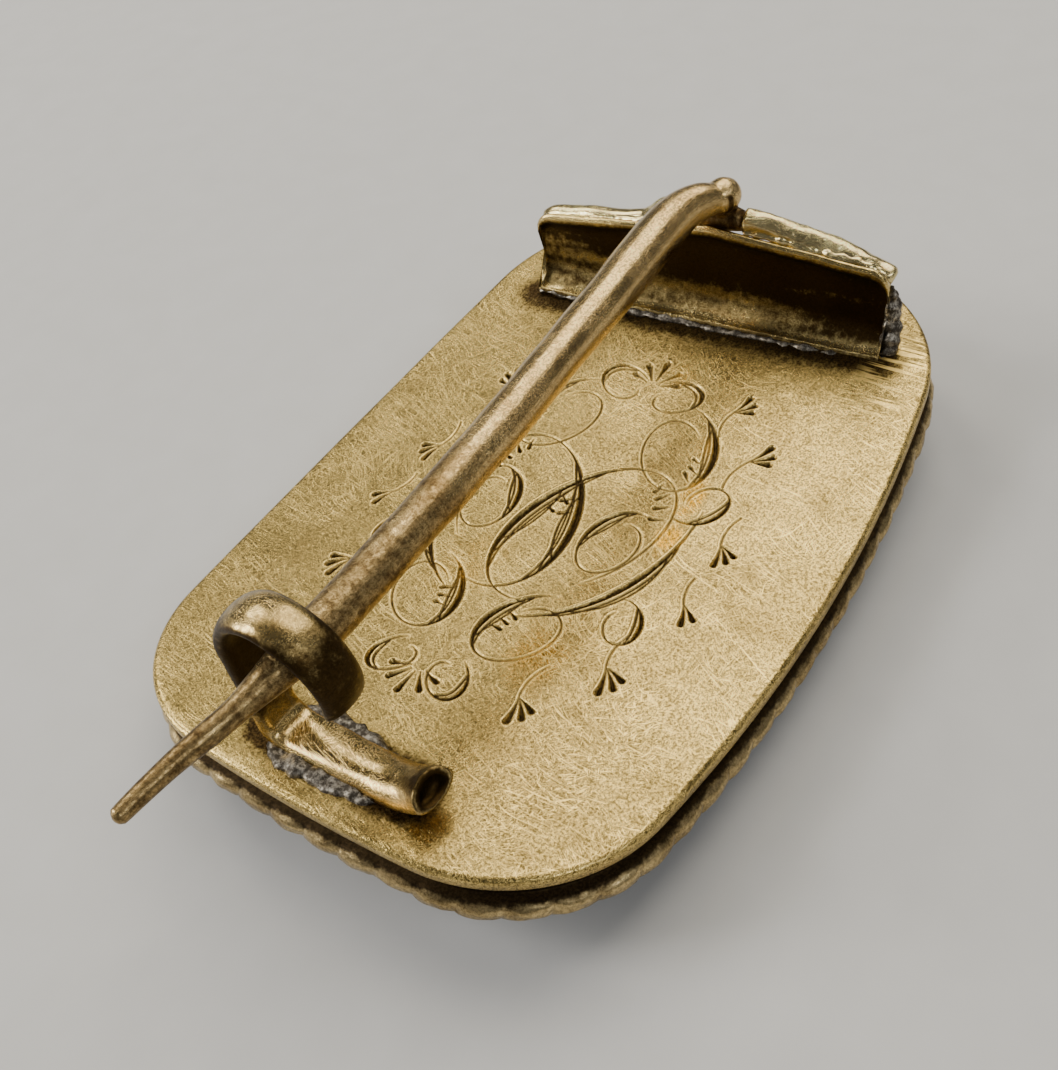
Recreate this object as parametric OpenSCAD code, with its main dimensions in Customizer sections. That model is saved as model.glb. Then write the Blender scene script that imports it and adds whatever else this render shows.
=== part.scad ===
// Mourning brooch lying on its glazed front, engraved back plate up and pin closed.
// X runs along the brooch from the catch to the hinge, Y across it, Z up. Millimetres.

/* [Back plate] */
// Length of the back plate
plate_l = 24; // [22:0.5:27]
// Width of the back plate
plate_w = 16.4; // [15:0.2:18]
// Thickness of the sheet
plate_t = 0.45; // [0.35:0.05:0.6]
// Radius of the long sides' bow
long_side_r = 57; // [45:1:90]
// Radius of the short sides' bow
short_side_r = 52; // [40:1:90]
// Radius of the four corners
corner_r = 4.6; // [3.8:0.1:5.4]
// Radius that the plate is bent to along its length
bend_r = 60; // [50:1:90]

/* [Border] */
// Depth of the groove under the plate's edge
groove_in = 0.3; // [0.1:0.05:0.5]
// Reach of the chased moulding past the plate's edge, between its scallops
mould_out = 0.08; // [0:0.02:0.2]
// Height of one scallop
scallop_h = 0.14; // [0.05:0.01:0.25]
// Scallops in a quarter of the outline
scallops = 16; // [12:1:24]
// Depth of the moulding's upper edge below the plate's face
mould_top = 0.85; // [0.75:0.05:1]
// Depth of the moulding's lower edge below the plate's face
mould_low = 1.45; // [1.3:0.05:1.6]
// Depth of the whole case below the plate's face
case_d = 2.35; // [2.2:0.05:3]
// Radius that the front is bent to along its length
front_bend_r = 88; // [70:1:120]
// Width of the bezel round the glass
bezel_w = 0.45; // [0.3:0.05:0.7]

/* [Hinge] */
// Place of the bracket's foot along the brooch
bracket_x = 8.15; // [7.5:0.05:8.6]
// Turn of the bracket from square, in degrees
bracket_skew = 4.3; // [0:0.1:6]
// Length of the bracket across the brooch
bracket_l = 11.8; // [10:0.1:12.4]
// Thickness of the bracket's sheet
bracket_t = 0.3; // [0.25:0.05:0.4]
// Radius of the curls at the bracket's foot and lip
curl_r = 0.7; // [0.5:0.05:0.9]
// Height of the hinge axis
axis_z = 3.98; // [3.9:0.02:4.2]
// Distance of the hinge axis behind the bracket's foot
axis_u = 1.08; // [1.06:0.02:1.2]
// Outer radius of the hinge tube
tube_r = 0.38; // [0.36:0.01:0.44]
// Fall of the tube from the hinge axis to the bracket's ends
tube_fall = 1.15; // [0.95:0.05:1.25]

/* [Pin] */
// Height of the stem's axis above the middle of the plate
stem_z = 4.9; // [4.8:0.05:5.2]
// Radius of the crossbar
bar_r = 0.2; // [0.16:0.01:0.22]
// Radius of the plain stretch behind the point
point_r = 0.32; // [0.28:0.01:0.4]

/* [Catch] */
// Place of the catch along the brooch
catch_x = -10.37; // [-10.6:0.01:-10]
// Width of the catch's band
band_w = 1.3; // [0.9:0.05:1.4]
// Thickness of the catch's band
band_t = 0.45; // [0.35:0.05:0.55]
// Outer radius of the crook
crook_r = 1.8; // [1.6:0.05:1.9]
// Height of the crook's centre
crook_z = 4.6; // [4.4:0.05:4.8]

/* [Hidden] */
$fn = 64;
gap = 0.05;
big = 40;

// Outline of the plate: round ends of three arcs in each quarter
half_l = plate_l / 2;
half_w = plate_w / 2;
long_c = [0, half_w - long_side_r];
short_c = [half_l - short_side_r, 0];
long_d = long_side_r - corner_r;
short_d = short_side_r - corner_r;
span = norm(short_c - long_c);
along = (short_c - long_c) / span;
foot = (long_d * long_d - short_d * short_d + span * span) / (2 * span);
rise = sqrt(long_d * long_d - foot * foot);
corner_c = long_c + along * foot + [along.y, -along.x] * rise;
long_a = atan2(corner_c.y - long_c.y, corner_c.x - long_c.x);
short_a = atan2(corner_c.y - short_c.y, corner_c.x - short_c.x);
deg = 180 / PI;
short_s = short_side_r * short_a / deg;
corner_s = corner_r * (long_a - short_a) / deg;
long_s = long_side_r * (90 - long_a) / deg;
quarter_s = short_s + corner_s + long_s;

// Point at the distance s along the first quarter, moved outwards by out
function quarter_point(s, out) =
    s < short_s
    ? let (a = s / short_side_r * deg) short_c + (short_side_r + out) * [cos(a), sin(a)]
    : s < short_s + corner_s
    ? let (a = short_a + (s - short_s) / corner_r * deg) corner_c + (corner_r + out) * [cos(a), sin(a)]
    : let (a = long_a + (s - short_s - corner_s) / long_side_r * deg)
      long_c + (long_side_r + out) * [cos(a), sin(a)];

// The same point for u from 0 to 4, once round the outline
function rim_point(u, out) =
    let (q = floor(u), t = u - q, p = quarter_point((q % 2 == 0 ? t : 1 - t) * quarter_s, out))
    [(q == 1 || q == 2 ? -1 : 1) * p.x, (q >= 2 ? -1 : 1) * p.y];

rim_steps = 30;
scallop_steps = 4;

module rim_shape(out) {
    polygon([for (i = [0 : 4 * rim_steps - 1]) rim_point(i / rim_steps, out)]);
}

module scalloped_shape(out) {
    steps = scallops * scallop_steps;
    polygon([for (i = [0 : 4 * steps - 1])
        rim_point(i / steps, out + scallop_h * sin(180 * (i % scallop_steps) / scallop_steps))]);
}

// Everything above a surface that is bent along X and reaches down to z
module above(z, r) {
    translate([0, 0, z + r]) rotate([90, 0, 0]) cylinder(h = big, r = r, center = true, $fn = 360);
}

// The shape in it stands between two such surfaces
module bent_layer(z_high, r_high, z_low, r_low) {
    difference() {
        intersection() {
            translate([0, 0, -big / 4]) linear_extrude(big / 2) children();
            above(z_low, r_low);
        }
        above(z_high, r_high);
    }
}

// Round rod from a to b, tapered from ra to rb
module rod(a, b, ra, rb) {
    d = b - a;
    translate(a) rotate([0, acos(d.z / norm(d)), atan2(d.y, d.x)]) cylinder(h = norm(d), r1 = ra, r2 = rb);
}

// Stem of the pin: a straight taper from the neck to the shoulder, then the point on a line of its own
stem_from = [7.9, 0.22];
stem_from_r = 0.69;
shoulder = [-9.3, -0.18];
shoulder_r = 0.56;
point_turn = 5.71;
point_l = 5.96;

// Overall place: middle of the box at the origin, lowest point on the ground
low_x = shoulder.x - point_l * cos(point_turn);
high_x = half_l + mould_out + scallop_h;
place = [-(low_x + high_x) / 2, 0, case_d];

// Border: groove, chased moulding, plain steps and the bezel
seat_in = 1.2;
opening_in = 1.95;
ledge_z = -1.5;
front_steps = [
    // inset, depth
    [0.45, mould_low + 0.3],
    [0.95, case_d - 0.35],
    [opening_in - bezel_w, case_d],
];
module border() {
    color("darkgoldenrod") translate(place) difference() {
        union() {
            bent_layer(-plate_t - gap, bend_r + plate_t + gap, -mould_low + 0.1, front_bend_r)
                rim_shape(-groove_in);
            bent_layer(-mould_top, (bend_r + front_bend_r) / 2, -mould_low, front_bend_r)
                scalloped_shape(mould_out);
            for (step = front_steps)
                bent_layer(-1, front_bend_r, -step[1], front_bend_r) rim_shape(-step[0]);
        }
        bent_layer(2, front_bend_r, ledge_z, front_bend_r) rim_shape(-seat_in);
        translate([0, 0, -big / 4]) linear_extrude(big / 2) rim_shape(-opening_in);
    }
}

glass_t = 0.7;
glass_dome_r = 70;
module glass() {
    glass_top = ledge_z - gap;
    color("lightcyan", 0.4) translate(place) difference() {
        intersection() {
            translate([0, 0, -big / 4]) linear_extrude(big / 2) rim_shape(-opening_in - gap);
            translate([0, 0, glass_top - glass_t + glass_dome_r]) sphere(r = glass_dome_r, $fn = 360);
        }
        above(glass_top, front_bend_r);
    }
}

panel_t = 0.3;
module hair_panel() {
    color("saddlebrown") translate(place)
        bent_layer(ledge_z + gap + panel_t, front_bend_r, ledge_z + gap, front_bend_r)
            rim_shape(-seat_in - gap);
}

// Hinge: in its own frame u runs away from the catch, v along the hinge
plate_z_hinge = bracket_x * bracket_x / (2 * bend_r);
cove_z = plate_z_hinge + bracket_t / 2 + curl_r;
lip_deg = 55;
lip_z = 3.95;
lip_drop = 0.6;
wall_z = lip_z - (curl_r + bracket_t) * sin(lip_deg);
peak_v = -0.35;
half_v = bracket_l / 2;
gap_low = -1.3;
gap_high = 0.6;
collar_l = 0.7;
collar_r = tube_r + 0.02;
running_gap = 0.04;
joint_swell = 0.01;
tube_bore_r = 0.2;
tube_bore_l = 0.8;
// Where each tube half steepens or flattens: v, fall below the hinge axis
left_knee = [2.4, 0.72];
right_knee = [-4.4, 0.68];
lip_slope = atan2(lip_drop, half_v);

module at_hinge() {
    translate([bracket_x, 0, 0]) rotate([0, 0, bracket_skew]) children();
}

// Turns a shape drawn in u and z into a bar from v0 to v1
module along_v(v0, v1) {
    translate([0, v1, 0]) rotate([90, 0, 0]) linear_extrude(v1 - v0) children();
}
// Sheet bent round the origin, from pointing along u upwards by the given angle, with a straight root
module sheet_curl(turn) {
    reach = 2 * (curl_r + bracket_t);
    intersection() {
        difference() {
            circle(r = curl_r + bracket_t);
            circle(r = curl_r);
        }
        polygon([[0, 0], [reach, 0], [reach, reach], [reach * cos(turn), reach * sin(turn)]]);
    }
    translate([curl_r, -bracket_t]) square([bracket_t, bracket_t]);
}

module bracket() {
    // Cove at the foot
    translate([0, 0, cove_z]) along_v(-half_v, half_v) intersection() {
        difference() {
            circle(r = curl_r + bracket_t);
            circle(r = curl_r);
        }
        translate([0, -curl_r - bracket_t]) square(curl_r + bracket_t);
    }
    // Upright wall with a gabled top
    translate([curl_r, 0, 0]) rotate([90, 0, 90]) linear_extrude(bracket_t) polygon([
        [-half_v, cove_z - 0.01],
        [half_v, cove_z - 0.01],
        [half_v, wall_z - (half_v - peak_v) * tan(lip_slope)],
        [peak_v, wall_z],
        [-half_v, wall_z - (half_v + peak_v) * tan(lip_slope)],
    ]);
    // Lip that curls back over the wall on both sides of the peak
    intersection() {
        translate([-1, -half_v, 0]) cube([3, bracket_l, 6]);
        translate([0, peak_v, wall_z]) union() {
            rotate([-lip_slope, 0, 0]) along_v(0, bracket_l) sheet_curl(lip_deg);
            rotate([lip_slope, 0, 0]) along_v(-bracket_l, 0) sheet_curl(lip_deg);
        }
    }
}

// One half of the hinge tube: a level collar, then the sloping tube to the bracket's end
module tube_half(side, start_v, knee_at) {
    collar_v = start_v + side * collar_l;
    bend = [axis_u, collar_v, axis_z];
    knee = [axis_u, knee_at[0], axis_z - knee_at[1]];
    end = [axis_u, side * half_v, axis_z - tube_fall];
    rod([axis_u, start_v, axis_z], bend, collar_r, collar_r);
    translate(bend) sphere(r = collar_r + joint_swell);
    difference() {
        union() {
            rod(bend, knee, tube_r, tube_r);
            translate(knee) sphere(r = tube_r + joint_swell);
            rod(knee, end, tube_r, tube_r);
        }
        rod(end + (knee - end) * tube_bore_l / norm(knee - end), 2 * end - knee, tube_bore_r, tube_bore_r);
    }
}

module hinge() {
    bore_l = gap_high - gap_low + 2 * collar_l;
    at_hinge() difference() {
        union() {
            bracket();
            tube_half(1, gap_high, left_knee);
            tube_half(-1, gap_low, right_knee);
        }
        translate([axis_u, gap_low - collar_l, axis_z]) rotate([-90, 0, 0])
            cylinder(h = bore_l, r = bar_r + running_gap);
    }
}

// Catch: a half-round band bent to a crook over the pin, with a long foot that lifts at its end
crook_y = 0.05;
crook_turn = 215;
band_crown_r = 0.85;
heel_r = 0.45;
foot_lift_y = -1.45;
foot_lift_r = 3;
foot_lift_turn = 45;
foot_sink = 0.1;
foot_z = catch_x * catch_x / (2 * bend_r) - foot_sink;
solder_pad = [band_w + 0.15, 3.2, 0.5];

// Section of the band: x outwards, y across the band
module band_section() {
    intersection() {
        translate([0, -band_w / 2]) square([band_t, band_w]);
        translate([band_t - band_crown_r, 0]) circle(r = band_crown_r);
    }
}
// Band bent round an axis along X, from straight down round towards +Y
module band_arc(start, turn, inner_r) {
    rotate([0, 90, 0]) rotate([0, 0, start]) rotate_extrude(angle = turn)
        translate([inner_r, 0]) band_section();
}
module catch() {
    wall_y = crook_y + crook_r - band_t;
    heel_y = wall_y - heel_r;
    heel_z = foot_z + band_t + heel_r;
    translate([catch_x, 0, 0]) {
        translate([0, crook_y, crook_z]) band_arc(90, crook_turn, crook_r - band_t);
        translate([0, wall_y, heel_z]) linear_extrude(crook_z - heel_z) rotate(90) band_section();
        translate([0, heel_y, heel_z]) band_arc(0, 90, heel_r);
        translate([0, heel_y, foot_z + band_t]) rotate([90, 0, 0])
            linear_extrude(heel_y - foot_lift_y) rotate(-90) band_section();
        translate([0, foot_lift_y, foot_z + foot_lift_r])
            band_arc(-foot_lift_turn, foot_lift_turn, foot_lift_r - band_t);
        translate([-solder_pad.x / 2, heel_y - solder_pad.y, foot_z - foot_sink]) cube(solder_pad);
    }
}

module back_plate() {
    color("gold") translate(place) {
        bent_layer(0, bend_r, -plate_t, bend_r + plate_t) rim_shape(0);
        hinge();
        catch();
    }
}

// Pin: crossbar, knuckle, nub, bent neck, tapered stem and point
nub = [1.11, -0.58, 4.72];
nub_r = 0.55;
neck_r = 0.52;
neck_lap = 0.3;
knuckle_r = 0.3;
knuckle_gap = 0.1;
bar_end_gap = 0.05;

module crossbar() {
    translate([axis_u, gap_low - collar_l + bar_end_gap, axis_z]) rotate([-90, 0, 0])
        cylinder(h = gap_high - gap_low + 2 * (collar_l - bar_end_gap), r = bar_r);
    translate([axis_u, gap_low + knuckle_gap, axis_z]) rotate([-90, 0, 0])
        cylinder(h = gap_high - gap_low - 2 * knuckle_gap, r = knuckle_r);
    translate(nub) sphere(r = nub_r);
}
// Point of the pin along its own axis: shoulder, plain stretch and rounded tip
module point() {
    rotate_extrude() polygon([
        // radius, distance from the shoulder
        [0, -0.25],
        [shoulder_r - 0.05, -0.25],
        [point_r, 2.1],
        [point_r, 4.2],
        [0.22, 5.7],
        [0.16, 5.88],
        [0, point_l],
    ]);
}
module pin() {
    skew = [cos(bracket_skew), sin(bracket_skew)];
    nub_at = [bracket_x + nub.x * skew.x - nub.y * skew.y, nub.x * skew.y + nub.y * skew.x, nub.z];
    neck_at = [stem_from.x, stem_from.y, stem_z];
    shoulder_at = [shoulder.x, shoulder.y, stem_z];
    color("peru") translate(place) {
        at_hinge() crossbar();
        rod(nub_at, neck_at + neck_lap * (neck_at - nub_at) / norm(neck_at - nub_at), neck_r, neck_r);
        rod(neck_at + neck_lap * (neck_at - shoulder_at) / norm(neck_at - shoulder_at), shoulder_at,
            stem_from_r, shoulder_r);
        translate(shoulder_at) rotate([0, 0, -point_turn]) rotate([0, -90, 0]) point();
    }
}

back_plate();
border();
glass();
hair_panel();
pin();
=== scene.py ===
# %% [markdown]
# # The back of a mourning brooch, lying on its glazed front
# A brooch like this is a shallow gold case. Its back is one sheet of gold, engraved by hand, and the
# hinge bracket, the hinge tube and the hook of the catch are soldered to that sheet. Here the solid
# model gives every size and the joint, and this script builds what the eye sees: worn, hand-made metal.

# %% Load the solid model
import math
import bmesh
import bpy
import numpy as np
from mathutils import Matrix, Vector, noise


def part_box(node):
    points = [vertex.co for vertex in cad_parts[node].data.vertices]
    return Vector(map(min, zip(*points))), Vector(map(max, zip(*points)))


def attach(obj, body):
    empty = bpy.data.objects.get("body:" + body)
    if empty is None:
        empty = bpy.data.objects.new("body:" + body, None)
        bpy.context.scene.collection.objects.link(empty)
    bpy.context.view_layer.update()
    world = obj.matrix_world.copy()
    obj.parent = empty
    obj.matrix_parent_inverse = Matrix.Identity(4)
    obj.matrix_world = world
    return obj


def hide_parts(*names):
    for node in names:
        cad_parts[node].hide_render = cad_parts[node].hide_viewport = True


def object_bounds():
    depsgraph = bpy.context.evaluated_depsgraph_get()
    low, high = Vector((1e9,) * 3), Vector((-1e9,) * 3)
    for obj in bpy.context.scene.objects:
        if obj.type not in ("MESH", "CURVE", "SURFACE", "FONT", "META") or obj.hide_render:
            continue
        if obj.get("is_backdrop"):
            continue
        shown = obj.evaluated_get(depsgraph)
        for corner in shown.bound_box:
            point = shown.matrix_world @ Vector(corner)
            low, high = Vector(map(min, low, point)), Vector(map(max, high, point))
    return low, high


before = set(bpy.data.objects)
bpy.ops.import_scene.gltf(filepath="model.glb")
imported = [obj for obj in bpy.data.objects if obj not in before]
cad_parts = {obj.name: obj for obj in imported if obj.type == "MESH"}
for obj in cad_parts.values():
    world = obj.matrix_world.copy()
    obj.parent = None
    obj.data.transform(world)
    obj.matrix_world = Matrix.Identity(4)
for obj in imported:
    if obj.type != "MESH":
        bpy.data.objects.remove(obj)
cad_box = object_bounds()
MM = 0.001
print("nodes:", sorted(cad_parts))
print("size in mm:", [round((b - a) / MM, 2) for a, b in zip(*cad_box)])

# %% [markdown]
# ## One origin for all pieces
# All shapes are drawn in millimetres round the middle of the back plate's upper face, with X towards
# the hinge and Z up. One function moves them to the model's own origin, which is under the case. Each
# object could be moved there instead, but then every piece would have an origin of its own.

# %% Place of the back plate
CASE_DEPTH = 2.35
plate_low, plate_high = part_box("back_plate")
PLATE_X = (plate_low.x + plate_high.x) / 2 / MM
PLACE = np.array([PLATE_X, 0.0, CASE_DEPTH])
print("plate's middle in the model, mm:", PLACE.round(3))


def placed(points):
    """Points in the plate's own millimetres, as metres in the model's frame."""
    return (np.asarray(points, float) + PLACE) * MM


# %% [markdown]
# ## The camera of the photograph
# The camera's place was worked out from the plate's outline, the bracket and the pin, all of known
# shape. It is close to so small an object, so the near end looks much larger than the far one. A
# camera set by eye would never make both ends fit the photograph at once.

# %% Camera
CAMERA_AT = (-19.1725, -15.7836, 24.9616)
CAMERA_TURN = (42.943, 8.434, -56.581)
FOCAL_PIXELS = 1207.7
IMAGE_HEIGHT = 1070
SENSOR = 36.0

camera_data = bpy.data.cameras.new("photo_camera")
camera_data.sensor_width = SENSOR
camera_data.lens = FOCAL_PIXELS / IMAGE_HEIGHT * SENSOR
camera_data.clip_start = 0.001
camera_data.clip_end = 5.0
camera = bpy.data.objects.new("photo_camera", camera_data)
camera.location = placed([CAMERA_AT])[0]
camera.rotation_euler = [math.radians(a) for a in CAMERA_TURN]
bpy.context.scene.collection.objects.link(camera)
bpy.context.scene.camera = camera
print("camera:", [round(c / MM, 2) for c in camera.location], "mm, lens", round(camera_data.lens, 2))

# %% [markdown]
# ## From numbers to meshes
# Most pieces are rows of points that follow a path or an outline. Neighbouring rows are joined by
# four-sided faces. They could be sculpted, but a shape made of numbers can be measured and changed.
# A helper makes the mesh, shades it smoothly and fastens it to its part of the model.


# %% Mesh helpers
def new_piece(name, points, faces, body="root"):
    """A smooth mesh piece that rides on a body."""
    mesh = bpy.data.meshes.new(name)
    mesh.from_pydata(placed(points).tolist(), [], faces)
    mesh.validate()
    shell = bmesh.new()
    shell.from_mesh(mesh)
    bmesh.ops.recalc_face_normals(shell, faces=shell.faces)
    shell.to_mesh(mesh)
    shell.free()
    mesh.polygons.foreach_set("use_smooth", [True] * len(mesh.polygons))
    mesh.update()
    piece = bpy.data.objects.new(name, mesh)
    bpy.context.scene.collection.objects.link(piece)
    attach(piece, body)
    print(f"{name}: {len(mesh.vertices)} points, {len(mesh.polygons)} faces")
    return piece


def grid_faces(rows, columns, start=0):
    """Four-sided faces between rows of points; each row's end is joined to its beginning."""
    faces = []
    for i in range(rows - 1):
        for j in range(columns):
            k = (j + 1) % columns
            a = start + i * columns
            b = a + columns
            faces.append((a + j, a + k, b + k, b + j))
    return faces


def rough(points, size, height, seed=0.0):
    """A smooth uneven height for each point: lumps of that size and height, in millimetres."""
    shift = Vector((seed, seed * 0.7, seed * 1.3))
    return np.array([noise.noise(Vector(p) / size + shift) for p in np.asarray(points).tolist()]) * height


def direction(angle):
    """A step of the length 1 at an angle in radians."""
    return np.array([math.cos(angle), math.sin(angle)])


def run_of(path):
    """How far along a line each of its points is; columns after z aren't measured."""
    steps = np.linalg.norm(np.diff(path[:, :3], axis=0), axis=1)
    return np.concatenate([[0], np.cumsum(steps)])


def add_mask(piece, name, values):
    """A value for each point of the mesh, which a material reads by its name."""
    attribute = piece.data.attributes.new(name, "FLOAT", "POINT")
    attribute.data.foreach_set("value", np.asarray(values, np.float32))


# %% [markdown]
# ## The outline of the case
# The plate is a rectangle with bowed sides and round corners. A quarter of it is three arcs, one for
# half a short side, one for the corner and one for half a long side, and the rest is that quarter
# mirrored. The same function gives the plate's edge, the moulding and the bezel, at any distance out.

# %% Outline
HALF_L = 12.0
HALF_W = 8.2
LONG_SIDE_R = 57.0
SHORT_SIDE_R = 52.0
CORNER_R = 4.6
BEND_R = 60.0
FRONT_BEND_R = 88.0

long_centre = np.array([0.0, HALF_W - LONG_SIDE_R])
short_centre = np.array([HALF_L - SHORT_SIDE_R, 0.0])
to_long = LONG_SIDE_R - CORNER_R
to_short = SHORT_SIDE_R - CORNER_R
span = np.linalg.norm(short_centre - long_centre)
along = (short_centre - long_centre) / span
foot = (to_long**2 - to_short**2 + span**2) / (2 * span)
rise = math.sqrt(to_long**2 - foot**2)
corner_centre = long_centre + along * foot + np.array([along[1], -along[0]]) * rise
long_turn = math.atan2(corner_centre[1] - long_centre[1], corner_centre[0] - long_centre[0])
short_turn = math.atan2(corner_centre[1] - short_centre[1], corner_centre[0] - short_centre[0])
short_run = SHORT_SIDE_R * short_turn
corner_run = CORNER_R * (long_turn - short_turn)
long_run = LONG_SIDE_R * (math.pi / 2 - long_turn)
QUARTER = short_run + corner_run + long_run
CORNER_AT = (short_run + corner_run / 2) / QUARTER


def quarter_arc(s, out):
    """Point at the distance s along the first quarter, moved outwards by out."""
    if s < short_run:
        turn, centre, radius = s / SHORT_SIDE_R, short_centre, SHORT_SIDE_R
    elif s < short_run + corner_run:
        turn, centre, radius = short_turn + (s - short_run) / CORNER_R, corner_centre, CORNER_R
    else:
        turn = long_turn + (s - short_run - corner_run) / LONG_SIDE_R
        centre, radius = long_centre, LONG_SIDE_R
    return centre + (radius + out) * direction(turn)


def rim_points(turns, outs):
    """Points of the outline; a turn from 0 to 4 goes once round, and outs moves each outwards."""
    found = []
    for u, out in zip(np.asarray(turns, float) % 4, np.broadcast_to(outs, len(turns))):
        quarter = int(u)
        t = u - quarter
        x, y = quarter_arc((t if quarter % 2 == 0 else 1 - t) * QUARTER, out)
        found.append((-x if quarter in (1, 2) else x, -y if quarter >= 2 else y))
    return np.array(found)


def bend(x, radius=BEND_R):
    """Height of a surface that is bent along X."""
    return radius - np.sqrt(radius**2 - np.asarray(x) ** 2)


print("once round the plate:", round(4 * QUARTER, 1), "mm")

# %% [markdown]
# ## Engraving as cut lines
# An engraver pushes a pointed tool through the gold. A cut is a V-shaped furrow that swells and
# tapers, and its two walls catch the light differently. Painting dark lines would look flat, so each
# cut is a path with a width at every point, and it is carved into a fine grid of the plate's surface.

# %% Field that is carved
CELL = 0.12
FINE = 4
FIELD_CELLS = (127, 100)
FIELD_LOW = np.array([-8.6, -5.95])
FIELD_STEP = CELL / FINE
field_nx, field_ny = (FINE * cells + 1 for cells in FIELD_CELLS)
field_x = FIELD_LOW[0] + FIELD_STEP * np.arange(field_nx)
field_y = FIELD_LOW[1] + FIELD_STEP * np.arange(field_ny)
cut_depth = np.zeros((field_nx, field_ny))
# Dirt in the bottom of each furrow, with painted shade on the wall that the cut's lean tilts
cut_dirt_and_shade = np.zeros((field_nx, field_ny))
# The rims stand a little proud; the gold colours them lighter as a painted highlight
cut_rim = np.zeros((field_nx, field_ny))
RIM_W = 0.04
DIRT_AND_SHADE_REACH = 1.15
print("field:", field_nx, "x", field_ny, "points")


def carve(path, half_width, depth, lean=0.0):
    """Cuts a furrow along a path; width and depth are one value or one a point, lean tilts its walls."""
    path = np.asarray(path, float)
    run = run_of(path)
    dense = np.arange(0, run[-1], FIELD_STEP / 2)
    x = np.interp(dense, run, path[:, 0])
    y = np.interp(dense, run, path[:, 1])
    w = np.interp(dense, run, np.broadcast_to(half_width, len(path)))
    deep_here = np.interp(dense, run, np.broadcast_to(depth, len(path)))
    side_x, side_y = -np.gradient(y), np.gradient(x)
    size = np.hypot(side_x, side_y) + 1e-9
    reach = int(math.ceil((w.max() + 2 * RIM_W) / FIELD_STEP))
    i0 = np.round((x - FIELD_LOW[0]) / FIELD_STEP).astype(int)
    j0 = np.round((y - FIELD_LOW[1]) / FIELD_STEP).astype(int)
    for di in range(-reach, reach + 1):
        for dj in range(-reach, reach + 1):
            i, j = i0 + di, j0 + dj
            inside = (i > FINE) & (i < field_nx - 1 - FINE) & (j > FINE) & (j < field_ny - 1 - FINE)
            i, j = i[inside], j[inside]
            dx, dy = field_x[i] - x[inside], field_y[j] - y[inside]
            distance = np.hypot(dx, dy)
            away = distance / w[inside]
            sign = (dx * side_x[inside] + dy * side_y[inside]) / size[inside] / w[inside]
            deep = np.clip(1 - away, 0, 1) * (1 + lean * sign) * deep_here[inside]
            np.maximum.at(cut_depth, (i, j), deep)
            # Dirt in the furrow, made darker on one wall by the lean: painted shade
            dirt = np.clip(DIRT_AND_SHADE_REACH - away, 0, 1) * np.clip(1 + lean * sign, 0, 2)
            np.maximum.at(cut_dirt_and_shade, (i, j), np.minimum(dirt, 1))
            bright = 1 - np.abs(distance - w[inside] - RIM_W / 2) / RIM_W
            np.maximum.at(cut_rim, (i, j), np.clip(bright, 0, 1))


# %% [markdown]
# ## Ovals that swell and leaves of single cuts
# Flourishes of this trade are oval lines that wind inwards. Each swells on one side, where thin lines
# are laid beside it for shade. Leaves are groups of single bright cuts, each made with one push of the
# tool, thin where it starts and deep where it ends. Both are functions of a few numbers.


# %% Paths of the engraver's tool
AXIS_Y = 0.05
THIN = 0.045
WALK_STEPS = 24


def even_path(path, count):
    """The same line as that number of evenly spaced points."""
    run = run_of(path)
    even = np.linspace(0, run[-1], count)
    return np.stack([np.interp(even, run, path[:, c]) for c in range(path.shape[1])], 1)


def mirrored(path):
    """The same line on the other side of the ornament's long axis."""
    return path * [1, -1] + [0, 2 * AXIS_Y]


def oval(x, y, long_r, short_r, lean, start, sweep, shrink):
    """An oval line round a place: radii, lean, where it starts and how far it runs, in degrees."""
    t = np.linspace(0, 1, 400)
    angle = np.radians(start + sweep * t)
    reach = 1 - (1 - shrink) * t
    a, b = long_r * reach * np.cos(angle), short_r * reach * np.sin(angle)
    c, s = math.cos(math.radians(lean)), math.sin(math.radians(lean))
    return even_path(np.stack([x + a * c - b * s, y + a * s + b * c], 1), 500)


def walk(at, heading, length, bow):
    """A bowed line from a place: its heading in degrees, its length and how far it turns, in radians."""
    angle = math.radians(heading) + bow * np.linspace(0, 1, WALK_STEPS)
    steps = np.stack([np.cos(angle), np.sin(angle)], 1) * length / WALK_STEPS
    return np.asarray(at, float) + np.vstack([[0, 0], np.cumsum(steps, axis=0)])


# %% Kinds of cuts
SHALLOW = 0.04
SWELL_DEPTH = 0.07
WALL_LEAN = 0.5
SIDE_LINE = (THIN + 0.01, 0.045)
DROP_START = (0.035, 0.03)
DROP_DEEPER = 0.09
print("thinnest cut:", 2 * DROP_START[0], "mm wide")


def shaded(path, thick, swell, lines, side_of):
    """A cut that swells on one stretch of its way, with thin lines laid beside the swell."""
    t = np.linspace(0, 1, len(path))
    low, high = swell
    wide = np.sin(np.clip((t - low) / (high - low), 0, 1) * math.pi) ** 1.5
    ends = np.clip(np.minimum(t, 1 - t) * 15, 0, 1)
    widths = (THIN + (thick - THIN) * wide) * (0.7 + 0.3 * ends)
    depths = (SHALLOW + SWELL_DEPTH * wide) * (0.4 + 0.6 * ends)
    carve(path, widths, depths, WALL_LEAN * side_of)
    way = np.gradient(path, axis=0)
    way /= np.linalg.norm(way, axis=1)[:, None] + 1e-9
    normal = np.stack([-way[:, 1], way[:, 0]], 1) * side_of
    for k in range(1, lines + 1):
        a = int(len(path) * (low + 0.09 * k * (high - low)))
        b = int(len(path) * (high - 0.11 * k * (high - low)))
        lift = (thick + 0.1 * k) * np.sin(np.linspace(0, math.pi, b - a)) ** 0.6
        carve(path[a:b] + normal[a:b] * lift[:, None], *SIDE_LINE)


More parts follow.
